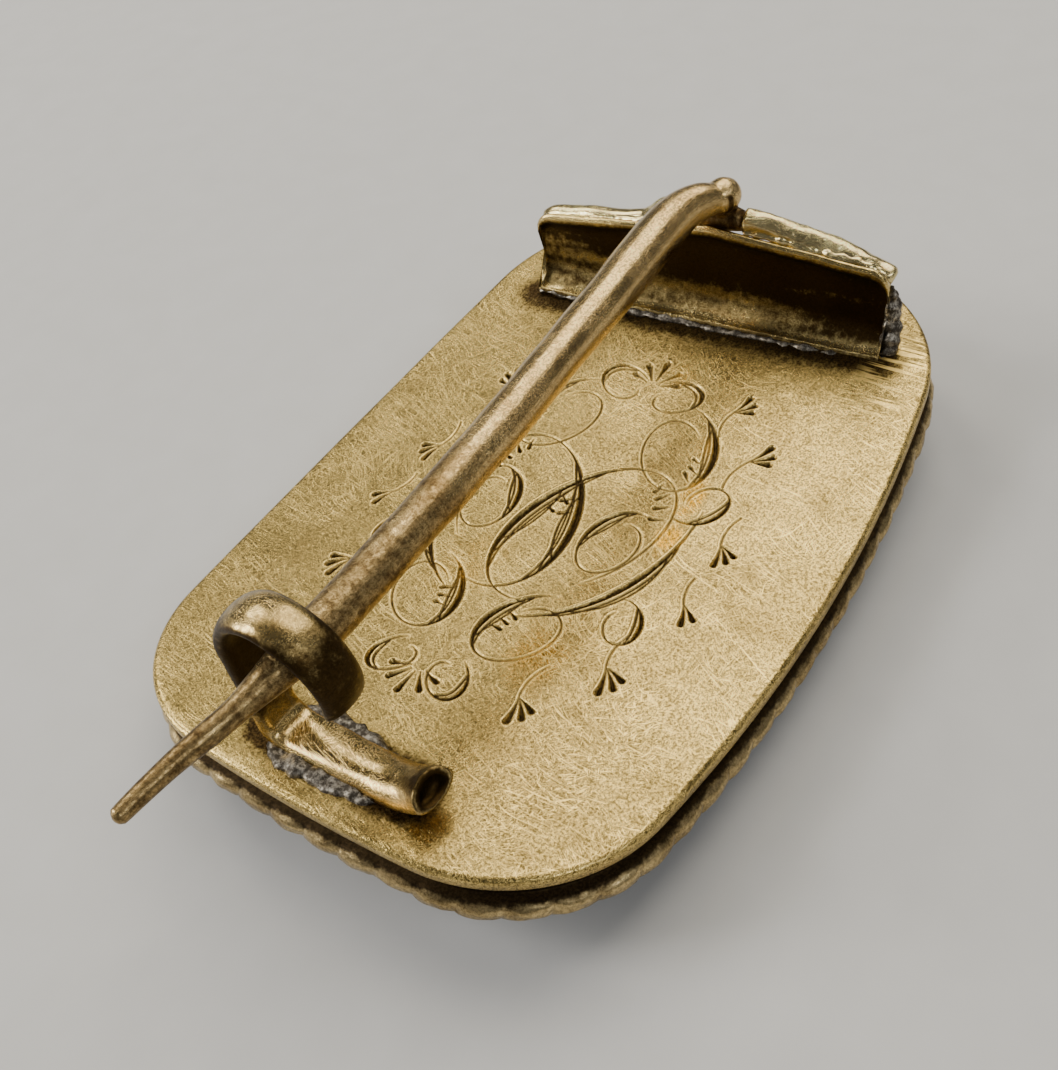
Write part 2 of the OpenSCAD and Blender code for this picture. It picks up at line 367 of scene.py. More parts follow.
def drop(at, heading, length, width, bow):
    """One bright cut: thin where it starts, wide and deep at its end."""
    start_w, start_depth = DROP_START
    s = np.linspace(0, 1, 25) ** 1.6
    path = walk(at, heading, length, bow)
    carve(path, start_w + (width - start_w) * s, start_depth + DROP_DEEPER * s, lean=0.3)


# %% [markdown]
# ## The ornament
# The plate carries a plain traditional pattern of the period, the same on both sides of its long
# axis: ovals that cross and wind in, fans of cuts at both ends and small leaves round them. Only one
# half is described, and each line is cut a second time, mirrored.


# %% Pairs of cuts
ROW_AWAY = 0.2
LEAF_STEM = (0.04, 0.035)
print("rows of cuts start", ROW_AWAY, "mm beside their line")


def oval_pair(values, thick, swell, lines, side_of):
    """An oval line and its mirror image."""
    path = oval(*values)
    shaded(path, thick, swell, lines, side_of)
    shaded(mirrored(path), thick, swell, lines, -side_of)


def drop_pair(at, heading, length, width, bow):
    """A single cut and its mirror image."""
    drop(at, heading, length, width, bow)
    drop((at[0], 2 * AXIS_Y - at[1]), -heading, length, width, -bow)


def leaf_pair(x, y, heading, count, spread, length, width, bow, stem, stem_bow):
    """Cuts that fan out from the end of a thin stem, each shorter, and their mirror image."""
    for k in range(count):
        drop_pair((x, y), heading + spread * k, length * (1 - 0.14 * k), width, bow)
    line = walk((x, y), heading + 180, stem, stem_bow)
    carve(line, *LEAF_STEM)
    carve(mirrored(line), *LEAF_STEM)


def row_pair(values, shares, turn, length, width, bow):
    """Single cuts in a row beside an oval line, and their mirror image."""
    path = oval(*values)
    for share in shares:
        k = int(share * (len(path) - 2))
        way = path[k + 1] - path[k]
        heading = math.degrees(math.atan2(way[1], way[0])) + turn
        start = path[k] + ROW_AWAY * direction(math.radians(heading))
        drop_pair(start, heading, length, width, bow)


# %% Cut the ovals
MAIN_OVAL = (-0.7, 1.3, 3.3, 2.05, 22, 150, 330, 0.82)
HINGE_OVAL = (3.1, 2.0, 1.9, 1.3, -24, 20, 400, 0.6)
CATCH_OVAL = (-4.7, 1.7, 1.6, 1.15, 30, 330, -400, 0.6)
OVALS = [
    # x, y, radii, lean, start, sweep, shrink; widest half width, where it swells, thin lines, side
    (MAIN_OVAL, 0.14, (0.1, 0.55), 3, 1),
    (HINGE_OVAL, 0.12, (0.05, 0.45), 2, 1),
    (CATCH_OVAL, 0.11, (0.05, 0.45), 2, -1),
    ((-0.9, 2.2, 1.45, 1.0, 10, 20, -400, 0.6), 0.1, (0.05, 0.45), 2, -1),
    ((-0.2, 0.9, 4.4, 2.9, 14, 60, 95, 1.0), 0.12, (0.15, 0.95), 2, -1),
    ((5.0, 0.95, 1.0, 0.75, 60, 250, 330, 0.6), 0.09, (0.1, 0.6), 1, 1),
    ((-7.0, 0.85, 0.9, 0.65, -40, 60, 330, 0.55), 0.08, (0.1, 0.6), 1, 1),
    ((1.6, 3.75, 1.0, 0.75, 30, 190, -330, 0.55), 0.09, (0.1, 0.6), 1, -1),
    ((-3.3, 3.85, 0.9, 0.65, -20, 0, 330, 0.55), 0.08, (0.1, 0.6), 1, 1),
]
for row in OVALS:
    oval_pair(*row)
print("deepest cut:", round(cut_depth.max(), 3), "mm")

# %% Cut the leaves, rows and fans
LEAVES = [
    # x, y, heading, cuts, spread, length, width, bow, length of the stem, its bow
    (-4.7, 4.3, 155, 3, -28, 0.85, 0.12, 0.3, 1.3, 0.9),
    (0.4, 4.9, 160, 3, -28, 0.75, 0.11, 0.3, 1.2, 0.8),
    (3.6, 4.2, 35, 3, 28, 0.8, 0.12, -0.3, 1.3, -0.8),
    (5.2, 2.9, 25, 3, 28, 0.75, 0.11, -0.3, 1.1, -0.9),
    (-6.6, 2.9, 160, 3, -28, 0.8, 0.12, 0.3, 1.3, 0.9),
    (-1.9, 5.0, 150, 2, -30, 0.7, 0.11, 0.3, 1.0, 0.7),
]
ROWS = [
    # oval, shares of its way, turn from it in degrees, length, width, bow
    (MAIN_OVAL, (0.64, 0.68, 0.72, 0.76), 70, 0.42, 0.085, 0.3),
    (MAIN_OVAL, (0.36, 0.4, 0.44), 110, 0.42, 0.085, -0.3),
    (HINGE_OVAL, (0.3, 0.35, 0.4), 100, 0.4, 0.08, 0.3),
    (CATCH_OVAL, (0.2, 0.25, 0.3), -100, 0.4, 0.08, 0.3),
]
FAN_SPREAD = 60
FAN_IN = 0.3
FAN_X = (-6.9, 5.2)
for row in LEAVES:
    leaf_pair(*row)
for row in ROWS:
    row_pair(*row)
for turn in np.linspace(-FAN_SPREAD, FAN_SPREAD, 5):
    spoke = FAN_IN * direction(math.radians(turn))
    drop((FAN_X[1] + spoke[0], AXIS_Y + spoke[1]), turn, 0.8 - abs(turn) / 220, 0.12, turn / 200)
    drop((FAN_X[0] - spoke[0], AXIS_Y + spoke[1]), 180 - turn, 0.75 - abs(turn) / 240, 0.11, -turn / 200)
print("carved points:", int((cut_depth > 0.002).sum()))

# %% [markdown]
# ## The back plate
# The sheet is bent along its length, so that the brooch follows the body, and its edge is turned
# down into a round rim. Only the cut places need small faces. So the field is made of coarse cells,
# and a cell with a cut in it is split into sixteen. Rings of points then lead from the field to the
# outline, the rolled edge, the thin side and the hidden underside.

# %% Faces of the field
RIM_FADE = 0.03
CUT_SEEN = 0.0005
cut_rim *= np.clip(1 - cut_depth / RIM_FADE, 0, 1)
busy = np.zeros(FIELD_CELLS, bool)
for i in range(FIELD_CELLS[0]):
    for j in range(FIELD_CELLS[1]):
        corner = (slice(i * FINE, i * FINE + FINE + 1), slice(j * FINE, j * FINE + FINE + 1))
        busy[i, j] = (cut_depth[corner] + cut_rim[corner] > CUT_SEEN).any()
print("cells with a cut:", int(busy.sum()), "of", busy.size)


def point_index(i, j):
    """Number of a point of the fine grid."""
    return i * field_ny + j


def is_busy(i, j):
    """True for a cell of the field that has a cut in it."""
    return 0 <= i < FIELD_CELLS[0] and 0 <= j < FIELD_CELLS[1] and busy[i, j]


def cell_faces(i, j):
    """Faces of one cell: sixteen where it is cut, else one that takes in its neighbours' points."""
    i0, j0 = i * FINE, j * FINE
    if busy[i, j]:
        corners = ((0, 0), (1, 0), (1, 1), (0, 1))
        return [tuple(point_index(a + right, b + up) for right, up in corners)
                for a in range(i0, i0 + FINE) for b in range(j0, j0 + FINE)]
    sides = [
        (is_busy(i, j - 1), [(i0 + k, j0) for k in range(FINE)]),
        (is_busy(i + 1, j), [(i0 + FINE, j0 + k) for k in range(FINE)]),
        (is_busy(i, j + 1), [(i0 + FINE - k, j0 + FINE) for k in range(FINE)]),
        (is_busy(i - 1, j), [(i0, j0 + FINE - k) for k in range(FINE)]),
    ]
    edge = [place for split, line in sides for place in (line if split else line[:1])]
    return [tuple(point_index(*place) for place in edge)]


field_faces = []
for i in range(FIELD_CELLS[0]):
    for j in range(FIELD_CELLS[1]):
        field_faces += cell_faces(i, j)
print("faces of the field:", len(field_faces))

# %% Rings round the field
PLATE_T = 0.45
ROLL_IN = 0.2
ROLL_DOWN = 0.17
RING_COUNT = 14


def field_border():
    """Grid places along the field's border, and for each the turn of the outline that it leads to."""
    last_i, last_j = field_nx - 1, field_ny - 1
    right = [(last_i, j) for j in range(0, last_j, FINE)]
    top = [(i, last_j) for i in range(last_i, 0, -FINE)]
    left = [(0, j) for j in range(last_j, 0, -FINE)]
    bottom = [(i, 0) for i in range(0, last_i, FINE)]
    corners = [-CORNER_AT, CORNER_AT, 2 - CORNER_AT, 2 + CORNER_AT, 4 - CORNER_AT]
    places, turns = [], []
    for side, a, b in zip((right, top, left, bottom), corners[:-1], corners[1:]):
        places += side
        turns += [a + (b - a) * k / len(side) for k in range(len(side))]
    return places, turns


border_places, border_turns = field_border()
border_count = len(border_places)
print("points in one ring:", border_count)

# %% Rows from the field to the underside
EDGE_ANGLES = (18, 36, 54, 72, 90)
SIDE_ROWS = [
    # how far out, how deep
    (0.0, 0.38),
    (-0.03, PLATE_T),
    (-0.3, PLATE_T),
]
border_xy = np.array([(field_x[i], field_y[j]) for i, j in border_places])
inner_edge = rim_points(border_turns, -ROLL_IN)
rows_xy, rows_z = [], []
for k in range(1, RING_COUNT + 1):
    t = k / RING_COUNT
    xy = border_xy * (1 - t) + inner_edge * t
    rows_xy.append(xy)
    rows_z.append(bend(xy[:, 0]))
for angle in np.radians(EDGE_ANGLES):
    xy = rim_points(border_turns, -ROLL_IN * (1 - math.sin(angle)))
    rows_xy.append(xy)
    rows_z.append(bend(xy[:, 0]) - ROLL_DOWN * (1 - math.cos(angle)))
for out, down in SIDE_ROWS:
    xy = rim_points(border_turns, out)
    rows_xy.append(xy)
    rows_z.append(bend(xy[:, 0]) - down)
rings_flat = np.column_stack([np.concatenate(rows_xy), np.concatenate(rows_z)])
print("rows round the field:", len(rows_xy))

# %% Points of the back plate
CUT_STRENGTH = 1.35
RIM_H = 0.008
SAG_DOWN = 0.02
grid_xy = np.stack(np.meshgrid(field_x, field_y, indexing="ij"), -1).reshape(-1, 2)
used = np.unique(np.concatenate([np.asarray(face) for face in field_faces]))
new_number = np.full(len(grid_xy), -1)
new_number[used] = np.arange(len(used))
grid_xy = grid_xy[used]
grid_flat = np.column_stack([grid_xy, bend(grid_xy[:, 0])])
top_count = (RING_COUNT + len(EDGE_ANGLES)) * border_count
waves = np.concatenate([grid_flat, rings_flat])
sag = rough(waves, 5.0, 0.03, 3.1) + rough(waves, 1.6, 0.006, 8.2)
on_top = np.ones(len(waves))
on_top[len(grid_flat) + top_count:] = 0.0
plate_points = waves.copy()
plate_points[:, 2] += (sag - SAG_DOWN) * on_top
plate_points[:len(grid_flat), 2] += cut_rim.ravel()[used] * RIM_H - cut_depth.ravel()[used] * CUT_STRENGTH
print("sag of the sheet, mm:", round(float(sag.min()), 3), "to", round(float(sag.max()), 3))

# %% Faces of the back plate
plate_faces = [tuple(int(new_number[k]) for k in face) for face in field_faces]
ring_start = len(grid_flat)
first_ring = [int(new_number[point_index(i, j)]) for i, j in border_places]
for k in range(border_count):
    n = (k + 1) % border_count
    plate_faces.append((first_ring[k], ring_start + k, ring_start + n, first_ring[n]))
plate_faces += [(a, d, c, b) for a, b, c, d in grid_faces(len(rows_xy), border_count, ring_start)]
under_middle = len(plate_points)
plate_points = np.vstack([plate_points, [0, 0, -PLATE_T]])
last = ring_start + (len(rows_xy) - 1) * border_count
for k in range(border_count):
    plate_faces.append((last + k, under_middle, last + (k + 1) % border_count))

back_sheet = new_piece("engraved_back_sheet", plate_points, plate_faces)
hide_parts("back_plate")
# The first mask holds dirt in the furrows and painted shade on one wall of each cut
for name, values in (("cut_dirt_and_shade", cut_dirt_and_shade), ("cut_rim", cut_rim)):
    at_points = np.zeros(len(plate_points))
    at_points[:len(grid_flat)] = values.ravel()[used]
    add_mask(back_sheet, name, at_points)

# %% [markdown]
# ## Strips and bars that follow a path
# The bracket, the tube, the catch and the solder are all one idea: a cross-section that is carried
# along a line. The helper takes a closed section for each place along the line and closes both ends.


# %% Sections along a path
def skin(name, sections, body="root"):
    """A mesh through closed sections with the same number of points each; both its ends are closed."""
    sections = np.asarray(sections, float)
    rows, columns, _ = sections.shape
    ends = np.array([sections[0].mean(0), sections[-1].mean(0)])
    faces = grid_faces(rows, columns)
    first_centre, last_centre = rows * columns, rows * columns + 1
    base = (rows - 1) * columns
    for k in range(columns):
        n = (k + 1) % columns
        faces.append((first_centre, n, k))
        faces.append((last_centre, base + k, base + n))
    return new_piece(name, np.vstack([sections.reshape(-1, 3), ends]), faces, body)


def smooth_path(points, count):
    """A smooth line through a few points, as evenly spaced points; extra columns are carried too."""
    points = np.asarray(points, float)
    ends = np.vstack([2 * points[0] - points[1], points, 2 * points[-1] - points[-2]])
    found = []
    for i in range(1, len(ends) - 2):
        a, b, c, d = ends[i - 1:i + 3]
        for t in np.linspace(0, 1, 24, endpoint=False):
            found.append(0.5 * (2 * b + (c - a) * t + (2 * a - 5 * b + 4 * c - d) * t**2
                                + (3 * b - a - 3 * c + d) * t**3))
    found.append(points[-1])
    return even_path(np.array(found), count)


def round_sections(path, radii, sides=28, flat=1.0, up=(0, 0, 1)):
    """Round sections across a path; flat squeezes them along the upward direction."""
    tangents = np.gradient(path, axis=0)
    tangents /= np.linalg.norm(tangents, axis=1)[:, None]
    angle = np.linspace(0, 2 * math.pi, sides, endpoint=False)
    sections = []
    for place, way, radius in zip(path, tangents, np.broadcast_to(radii, len(path))):
        side = np.cross(way, up)
        side /= np.linalg.norm(side)
        lift = np.cross(side, way)
        ring = np.outer(np.cos(angle), side) + flat * np.outer(np.sin(angle), lift)
        sections.append(place + radius * ring)
    return np.array(sections)


def lumpy(sections, size, height, seed):
    """Moves the points of the sections in and out unevenly, for rough or hand-worked metal."""
    sections = np.array(sections, float)
    centres = sections.mean(1, keepdims=True)
    outward = sections - centres
    reach = np.linalg.norm(outward, axis=2, keepdims=True) + 1e-9
    lumps = rough(sections.reshape(-1, 3), size, height, seed)
    return sections + outward / reach * lumps.reshape(reach.shape)


# %% [markdown]
# ## The hinge bracket
# A strip of sheet stands across the plate. Its foot curves forward like a cove, its wall is upright
# and its top curls forward to a lip, highest near the hinge. It was set by eye, a few degrees askew.
# It could be a bent plane that a modifier thickens. Here the section has its real thickness from the
# start, so the lip gets a round edge, and slow noise puts in the dents of hand work.

# %% Hinge bracket
BRACKET_X = 8.15
BRACKET_SKEW = math.radians(4.3)
BRACKET_HALF = 5.9
SHEET_T = 0.3
CURL_R = 0.7
LIP_Z = 3.95
LIP_DROP = 0.6
LIP_TURN = 55
PEAK_V = -0.35
LIP_CORNER_R = 0.55
COVE_Z = BRACKET_X**2 / (2 * BEND_R) + SHEET_T / 2 + CURL_R


def from_hinge(points):
    """Points given as u away from the catch, v along the hinge and z, in the plate's frame."""
    points = np.asarray(points, float)
    c, s = math.cos(BRACKET_SKEW), math.sin(BRACKET_SKEW)
    u, v, z = points[..., 0], points[..., 1], points[..., 2]
    return np.stack([BRACKET_X + u * c - v * s, u * s + v * c, z], -1)


def lip_centre_z(v):
    """Height of the centre that the lip curls round."""
    top = LIP_Z - (CURL_R + SHEET_T) * math.sin(math.radians(LIP_TURN))
    past = np.clip((abs(v) - BRACKET_HALF) / LIP_CORNER_R + 1, 0, 1)
    rounding = LIP_CORNER_R * (1 - math.sqrt(1 - past**2))
    return top - LIP_DROP * abs(v - PEAK_V) / BRACKET_HALF - rounding


def bracket_section(v):
    """Closed section of the bracket's sheet at v: up its hollow side, round the lip, down its back."""
    top = lip_centre_z(v)
    cove = [(a, COVE_Z) for a in np.radians(np.linspace(-90, 0, 12))]
    wall = [(0.0, COVE_Z + (top - COVE_Z) * t) for t in np.linspace(0.15, 0.85, 6)]
    curl = [(a, top) for a in np.radians(np.linspace(0, LIP_TURN - 6, 9))]
    inner, outer = ([(radius * math.cos(a), v, z + radius * math.sin(a)) for a, z in cove + wall + curl]
                    for radius in (CURL_R, CURL_R + SHEET_T))
    turn = math.radians(LIP_TURN)
    middle = np.array([0.0, top]) + (CURL_R + SHEET_T / 2) * direction(turn - 0.1)
    tip = []
    for a in np.radians(np.linspace(-150, 30, 7)):
        x, z = middle + SHEET_T / 2 * direction(turn - a - 1.57)
        tip.append((x, v, z))
    return inner + tip + outer[::-1]


# %% Bracket mesh
WOBBLES = [
    # size, height and seed of the dents, along x, y and z
    (2.2, 0.05, 1.0),
    (1.3, 0.02, 5.0),
    (1.8, 0.05, 9.0),
]
bracket_v = np.linspace(-BRACKET_HALF + 0.02, BRACKET_HALF - 0.02, 110)
bracket_sections = from_hinge([bracket_section(v) for v in bracket_v])
flat_points = bracket_sections.reshape(-1, 3)
wobble = np.stack([rough(flat_points, *row) for row in WOBBLES], 1)
bracket = skin("hinge_bracket", (flat_points + wobble).reshape(bracket_sections.shape))

# %% [markdown]
# ## The hinge tube
# Two lengths of tube are soldered behind the lip, with a gap between them for the pin. They are
# level at the hinge, fall towards the bracket's ends and narrow there. A cylinder would be too even.
# So each half is a path with a radius at every point, and its first rows go down into the bore that
# the pin's crossbar turns in.

# %% Hinge tube
AXIS_U = 1.08
AXIS_Z = 3.98
TUBE_R = 0.38
BORE_R = 0.24
GAP_LOW = -1.3
GAP_HIGH = 0.6
COLLAR_L = 0.7


def tube_sections(rows, bump):
    """Sections of a tube that starts with a bored collar; bump is its unevenness."""
    path = smooth_path([(AXIS_U, v, z, r) for v, z, r in rows], 60)
    outer = round_sections(path[:, :3], path[:, 3])
    start, way = path[0, :3], path[1, :3] - path[0, :3]
    way /= np.linalg.norm(way)
    rim = round_sections(np.array([start, start + way * 0.01]), BORE_R)[0]
    bottom = np.array([start + way * COLLAR_L, start + way * (COLLAR_L + 0.01)])
    inside = round_sections(bottom, BORE_R)[0]
    outer = lumpy(lumpy(outer, 0.8, 0.035 + bump, rows[0][0]), 0.3, bump, 3.0)
    return np.concatenate([[inside], [rim], outer])


LEFT_TUBE = [
    # v, z, radius
    (GAP_HIGH, AXIS_Z, 0.39),
    (GAP_HIGH + COLLAR_L, AXIS_Z - 0.03, TUBE_R),
    (1.75, AXIS_Z - 0.42, TUBE_R),
    (2.3, AXIS_Z - 0.68, TUBE_R),
    (3.9, AXIS_Z - 0.86, TUBE_R),
    (5.2, AXIS_Z - 1.0, 0.36),
    (5.7, AXIS_Z - 1.1, 0.26),
    (5.86, AXIS_Z - 1.16, 0.12),
]
RIGHT_TUBE = [
    # v, z, radius
    (GAP_LOW, AXIS_Z, 0.39),
    (GAP_LOW - COLLAR_L, AXIS_Z - 0.03, TUBE_R),
    (-3.2, AXIS_Z - 0.34, TUBE_R + 0.02),
    (-4.4, AXIS_Z - 0.64, TUBE_R + 0.02),
    (-5.3, AXIS_Z - 0.96, 0.38),
    (-5.72, AXIS_Z - 1.12, 0.34),
    (-5.86, AXIS_Z - 1.18, 0.2),
]
skin("hinge_tube_left", from_hinge(tube_sections(LEFT_TUBE, 0.01)))
skin("hinge_tube_right", from_hinge(tube_sections(RIGHT_TUBE, 0.035)))

# %% [markdown]
# ## The hook of the catch
# A narrow half-round band is bent to an open hook over the pin. Its foot runs on along the plate, is
# soldered down and lifts at its end, which is thicker and hollow; that end is painted dark as shade.
# The section is round outside and nearly flat inside. A curve object could carry such a section, but it
# would grow evenly on all its sides, and here only the inner side swells towards the foot's end.

# %% Catch band
CATCH_X = -10.37
BAND_W = 1.3
BAND_T = 0.45
CROOK_R = 1.8
CROOK_Z = 4.6
CROOK_Y = 0.05
CROOK_TURN = 215
HEEL_R = 0.45
FOOT_LIFT_Y = -1.45
FOOT_LIFT_R = 3.0
FOOT_LIFT_TURN = 43
FOOT_Z = CATCH_X**2 / (2 * BEND_R) - 0.06


def band_path():
    """The band's inner line, from its free end to the end of the foot, and the way out at each point."""
    inner = CROOK_R - BAND_T
    places, outs = [], []
    for a in np.radians(np.linspace(CROOK_TURN - 3, 0, 90)):
        out = direction(a)
        places.append(np.array([CROOK_Y, CROOK_Z]) + inner * out)
        outs.append(out)
    wall_y = CROOK_Y + inner
    heel_z = FOOT_Z + BAND_T + HEEL_R
    for z in np.linspace(CROOK_Z, heel_z, 16)[1:-1]:
        places.append(np.array([wall_y, z]))
        outs.append(np.array([1.0, 0.0]))
    for a in np.radians(np.linspace(0, -90, 14)):
        out = direction(a)
        places.append(np.array([wall_y - HEEL_R, heel_z]) + HEEL_R * out)
        outs.append(out)
    for y in np.linspace(wall_y - HEEL_R, FOOT_LIFT_Y, 16)[1:-1]:
        places.append(np.array([y, FOOT_Z + BAND_T]))
        outs.append(np.array([0.0, -1.0]))
    centre = np.array([FOOT_LIFT_Y, FOOT_Z + FOOT_LIFT_R])
    for a in np.radians(np.linspace(-90, -90 - FOOT_LIFT_TURN, 22)):
        out = direction(a)
        places.append(centre + (FOOT_LIFT_R - BAND_T) * out)
        outs.append(out)
    return np.array(places), np.array(outs)


band_places, band_outs = band_path()
print("inner line of the band:", round(run_of(band_places)[-1], 1), "mm")

# %% Catch mesh
INNER_SIDE = [
    # share of the half width, distance outwards
    (-0.93, 0.1),
    (-0.8, 0.02),
    (-0.45, 0.05),
    (0.0, 0.06),
    (0.45, 0.05),
    (0.8, 0.02),
    (0.93, 0.1),
]
END_ROWS = 7
FOOT_SWELL = 0.38
SWELL_FROM = 0.72
SWELL_RUN = 0.2
RIM_SHARE = 0.7
HOLLOW_DEPTH = 0.3


def band_profile(width, thick, swell):
    """Half-round section as distances across and outwards; swell rounds its inner side too."""
    half = width / 2
    crown = [(half * math.cos(a), thick * (0.36 + 0.64 * math.sin(a)))
             for a in np.radians(np.linspace(8, 172, 15))]
    inner = [(half * share, up) for share, up in INNER_SIDE]
    return crown + [(x, up - swell * (1 - (x / half)**2)) for x, up in inner]


band_sections = []
for k, (place, out) in enumerate(zip(band_places, band_outs)):
    end = min(k / END_ROWS, 1.0)
    width = BAND_W * (0.62 + 0.38 * math.sqrt(end))
    thick = BAND_T * (0.55 + 0.45 * end)
    swell = FOOT_SWELL * np.clip((k / (len(band_places) - 1) - SWELL_FROM) / SWELL_RUN, 0, 1)
    profile = band_profile(width, thick, swell)
    band_sections.append([(CATCH_X + across, *(place + out * up)) for across, up in profile])
foot_end = np.array(band_sections[-1])
end_middle = foot_end.mean(0)
inwards = np.array(band_sections[-5]).mean(0) - end_middle
rim = end_middle + (foot_end - end_middle) * RIM_SHARE
band_sections += [rim, rim + inwards / np.linalg.norm(inwards) * HOLLOW_DEPTH]
catch_band = skin("catch_hook", lumpy(band_sections, 1.1, 0.03, 4.0))

# %% [markdown]
# ## Solder and old dirt
# Where the bracket and the catch meet the plate, grey solder and dirt stand in rough seams, thickest
# at the bracket's near end. Cleaner solder, nearly as yellow as the tube, runs along under the tube.
# Each seam is a thin flattened bar with strong lumps, half sunk in the metal that it holds. Metal
# melted together by a remesh would need far more faces for the same look.


# %% Helpers for solder
def solder(name, flat, lump, seed, hinge, rows):
    """A lumpy seam along a few points with a radius each; hinge says that they follow the bracket."""
    path = smooth_path(rows, 70)
    sections = lumpy(round_sections(path[:, :3], path[:, 3], 16, flat), 0.28, lump, seed)
    if hinge:
        sections = from_hinge(sections)
    return skin(name, sections)


def ground(x):
    """Height of the plate at x."""
    return float(bend(x))


# %% Solder seams
SEAMS = [
    # name, flatness, lumps, seed, on the bracket; then u, v, z and radius there, or x, y, z and radius
    ("solder_bracket_front", 0.75, 0.14, 2.0, True, [
        (-0.02, -5.8, 0.5, 0.05),
        (-0.05, -4.0, 0.52, 0.13),
        (-0.04, -1.0, 0.54, 0.12),
        (-0.04, 2.0, 0.56, 0.12),
        (-0.02, 5.0, 0.58, 0.1),
        (0, 5.8, 0.6, 0.04),
    ]),
    ("solder_bracket_back", 0.75, 0.14, 3.0, True, [
        (0.75, -5.8, 0.66, 0.1),
        (0.78, -3.0, 0.66, 0.2),
        (0.78, 0.0, 0.66, 0.22),
        (0.78, 3.0, 0.66, 0.2),
        (0.75, 5.8, 0.66, 0.1),
    ]),
    ("solder_bracket_end", 0.8, 0.12, 6.0, True, [
        (0.42, -6.04, 0.58, 0.3),
        (0.62, -6.04, 1.0, 0.32),
        (0.8, -6.0, 1.6, 0.26),
        (0.88, -5.94, 2.2, 0.2),
        (0.84, -5.88, 2.75, 0.1),
    ]),
    ("solder_catch_left", 0.6, 0.14, 7.0, False, [
        (CATCH_X - 0.62, 1.6, ground(-11) + 0.02, 0.12),
        (CATCH_X - 0.74, 0.9, ground(-11.1), 0.3),
        (CATCH_X - 0.74, -0.2, ground(-11.1), 0.3),
        (CATCH_X - 0.66, -1.3, ground(-11) + 0.02, 0.22),
        (CATCH_X - 0.45, -2.0, ground(-10.9) + 0.02, 0.06),
    ]),
    ("solder_catch_right", 0.7, 0.14, 8.0, False, [
        (CATCH_X + 0.6, 1.7, ground(-9.8) + 0.04, 0.14),
        (CATCH_X + 0.76, 1.0, ground(-9.8), 0.3),
        (CATCH_X + 0.72, 0.0, ground(-9.8), 0.28),
        (CATCH_X + 0.64, -1.0, ground(-9.8), 0.2),
        (CATCH_X + 0.5, -1.9, ground(-9.8) + 0.02, 0.05),
    ]),
    ("solder_bracket_corner", 0.6, 0.1, 13.0, True, [
        (0.15, -5.95, 0.56, 0.08),
        (0.6, -6.0, 0.6, 0.24),
        (1.05, -6.05, 0.64, 0.28),
        (1.4, -6.0, 0.7, 0.1),
    ]),
    ("tube_solder_right", 1.0, 0.09, 9.0, True, [
        (0.70, -1.36, 3.80, 0.08),
        (0.74, -2.2, 3.76, 0.14),
        (0.74, -3.0, 3.66, 0.16),
        (0.78, -3.9, 3.52, 0.16),
        (0.82, -4.9, 3.34, 0.16),
        (0.86, -5.7, 3.08, 0.1),
    ]),
    ("tube_solder_left", 1.0, 0.06, 11.0, True, [
        (0.64, 0.75, 3.74, 0.1),
        (0.7, 1.8, 3.62, 0.15),
        (0.72, 3.2, 3.42, 0.14),
        (0.74, 5.6, 3.07, 0.1),
    ]),
]
for row in SEAMS:
    solder(*row)

# %% [markdown]
# ## The border
# Round the case runs a groove, and under it a chased moulding of small lobes, worn nearly smooth.
# Plain steps lead in to the bezel that holds the glass. The section is carried round the outline, and
# the lobes come from a wave that repeats along it, with a slant and a little unevenness in each. A
# lobe copied round with an array would look stamped, while these differ a little.

# %% Lobes of the moulding
GROOVE_IN = 0.3
MOULD_OUT = 0.08
LOBE_H = 0.14
LOBES = 16
MOULD_TOP = 0.85
MOULD_LOW = 1.45
OPENING_IN = 1.95
LEDGE_DEPTH = 1.5
SEAT_IN = 1.2
LOBE_SLANT = 0.28
AROUND = 1600
NOTCH = 0.02
print("lobes round the case:", 4 * LOBES)

ring_turns = np.arange(AROUND) * 4 / AROUND
lobe_place = ring_turns * LOBES
no_rise = np.zeros(AROUND)
lobe_seed = rough(np.column_stack([np.floor(lobe_place), no_rise, no_rise]) * 1.7, 1.0, 1.0, 2.0)


def moulding_out(down_share):
    """How far the moulding stands out, for a share from its upper edge to its lower one."""
    lobe = np.abs(np.sin(math.pi * (lobe_place + LOBE_SLANT * (down_share - 0.5))))
    worn = 0.8 + 0.2 * lobe_seed
    swell_out = math.sin(math.pi * np.clip(down_share, 0.06, 0.94)) ** 0.6
    places = np.column_stack([ring_turns * 60, np.full(AROUND, down_share * 6), no_rise])
    ripples = rough(places, 1.0, 0.03, 5.0)
    outs = (MOULD_OUT + LOBE_H * lobe**0.6 * worn) * swell_out + ripples * swell_out
    return np.minimum(outs, MOULD_OUT + LOBE_H - NOTCH)


# %% Section of the border
ring_rows = []


def add_ring(outs, down, radius):
    """One row of the border's section all round: how far out, how deep, and the bend it follows."""
    xy = rim_points(ring_turns, outs)
    ring_rows.append(np.column_stack([xy, bend(xy[:, 0], radius) - down]))


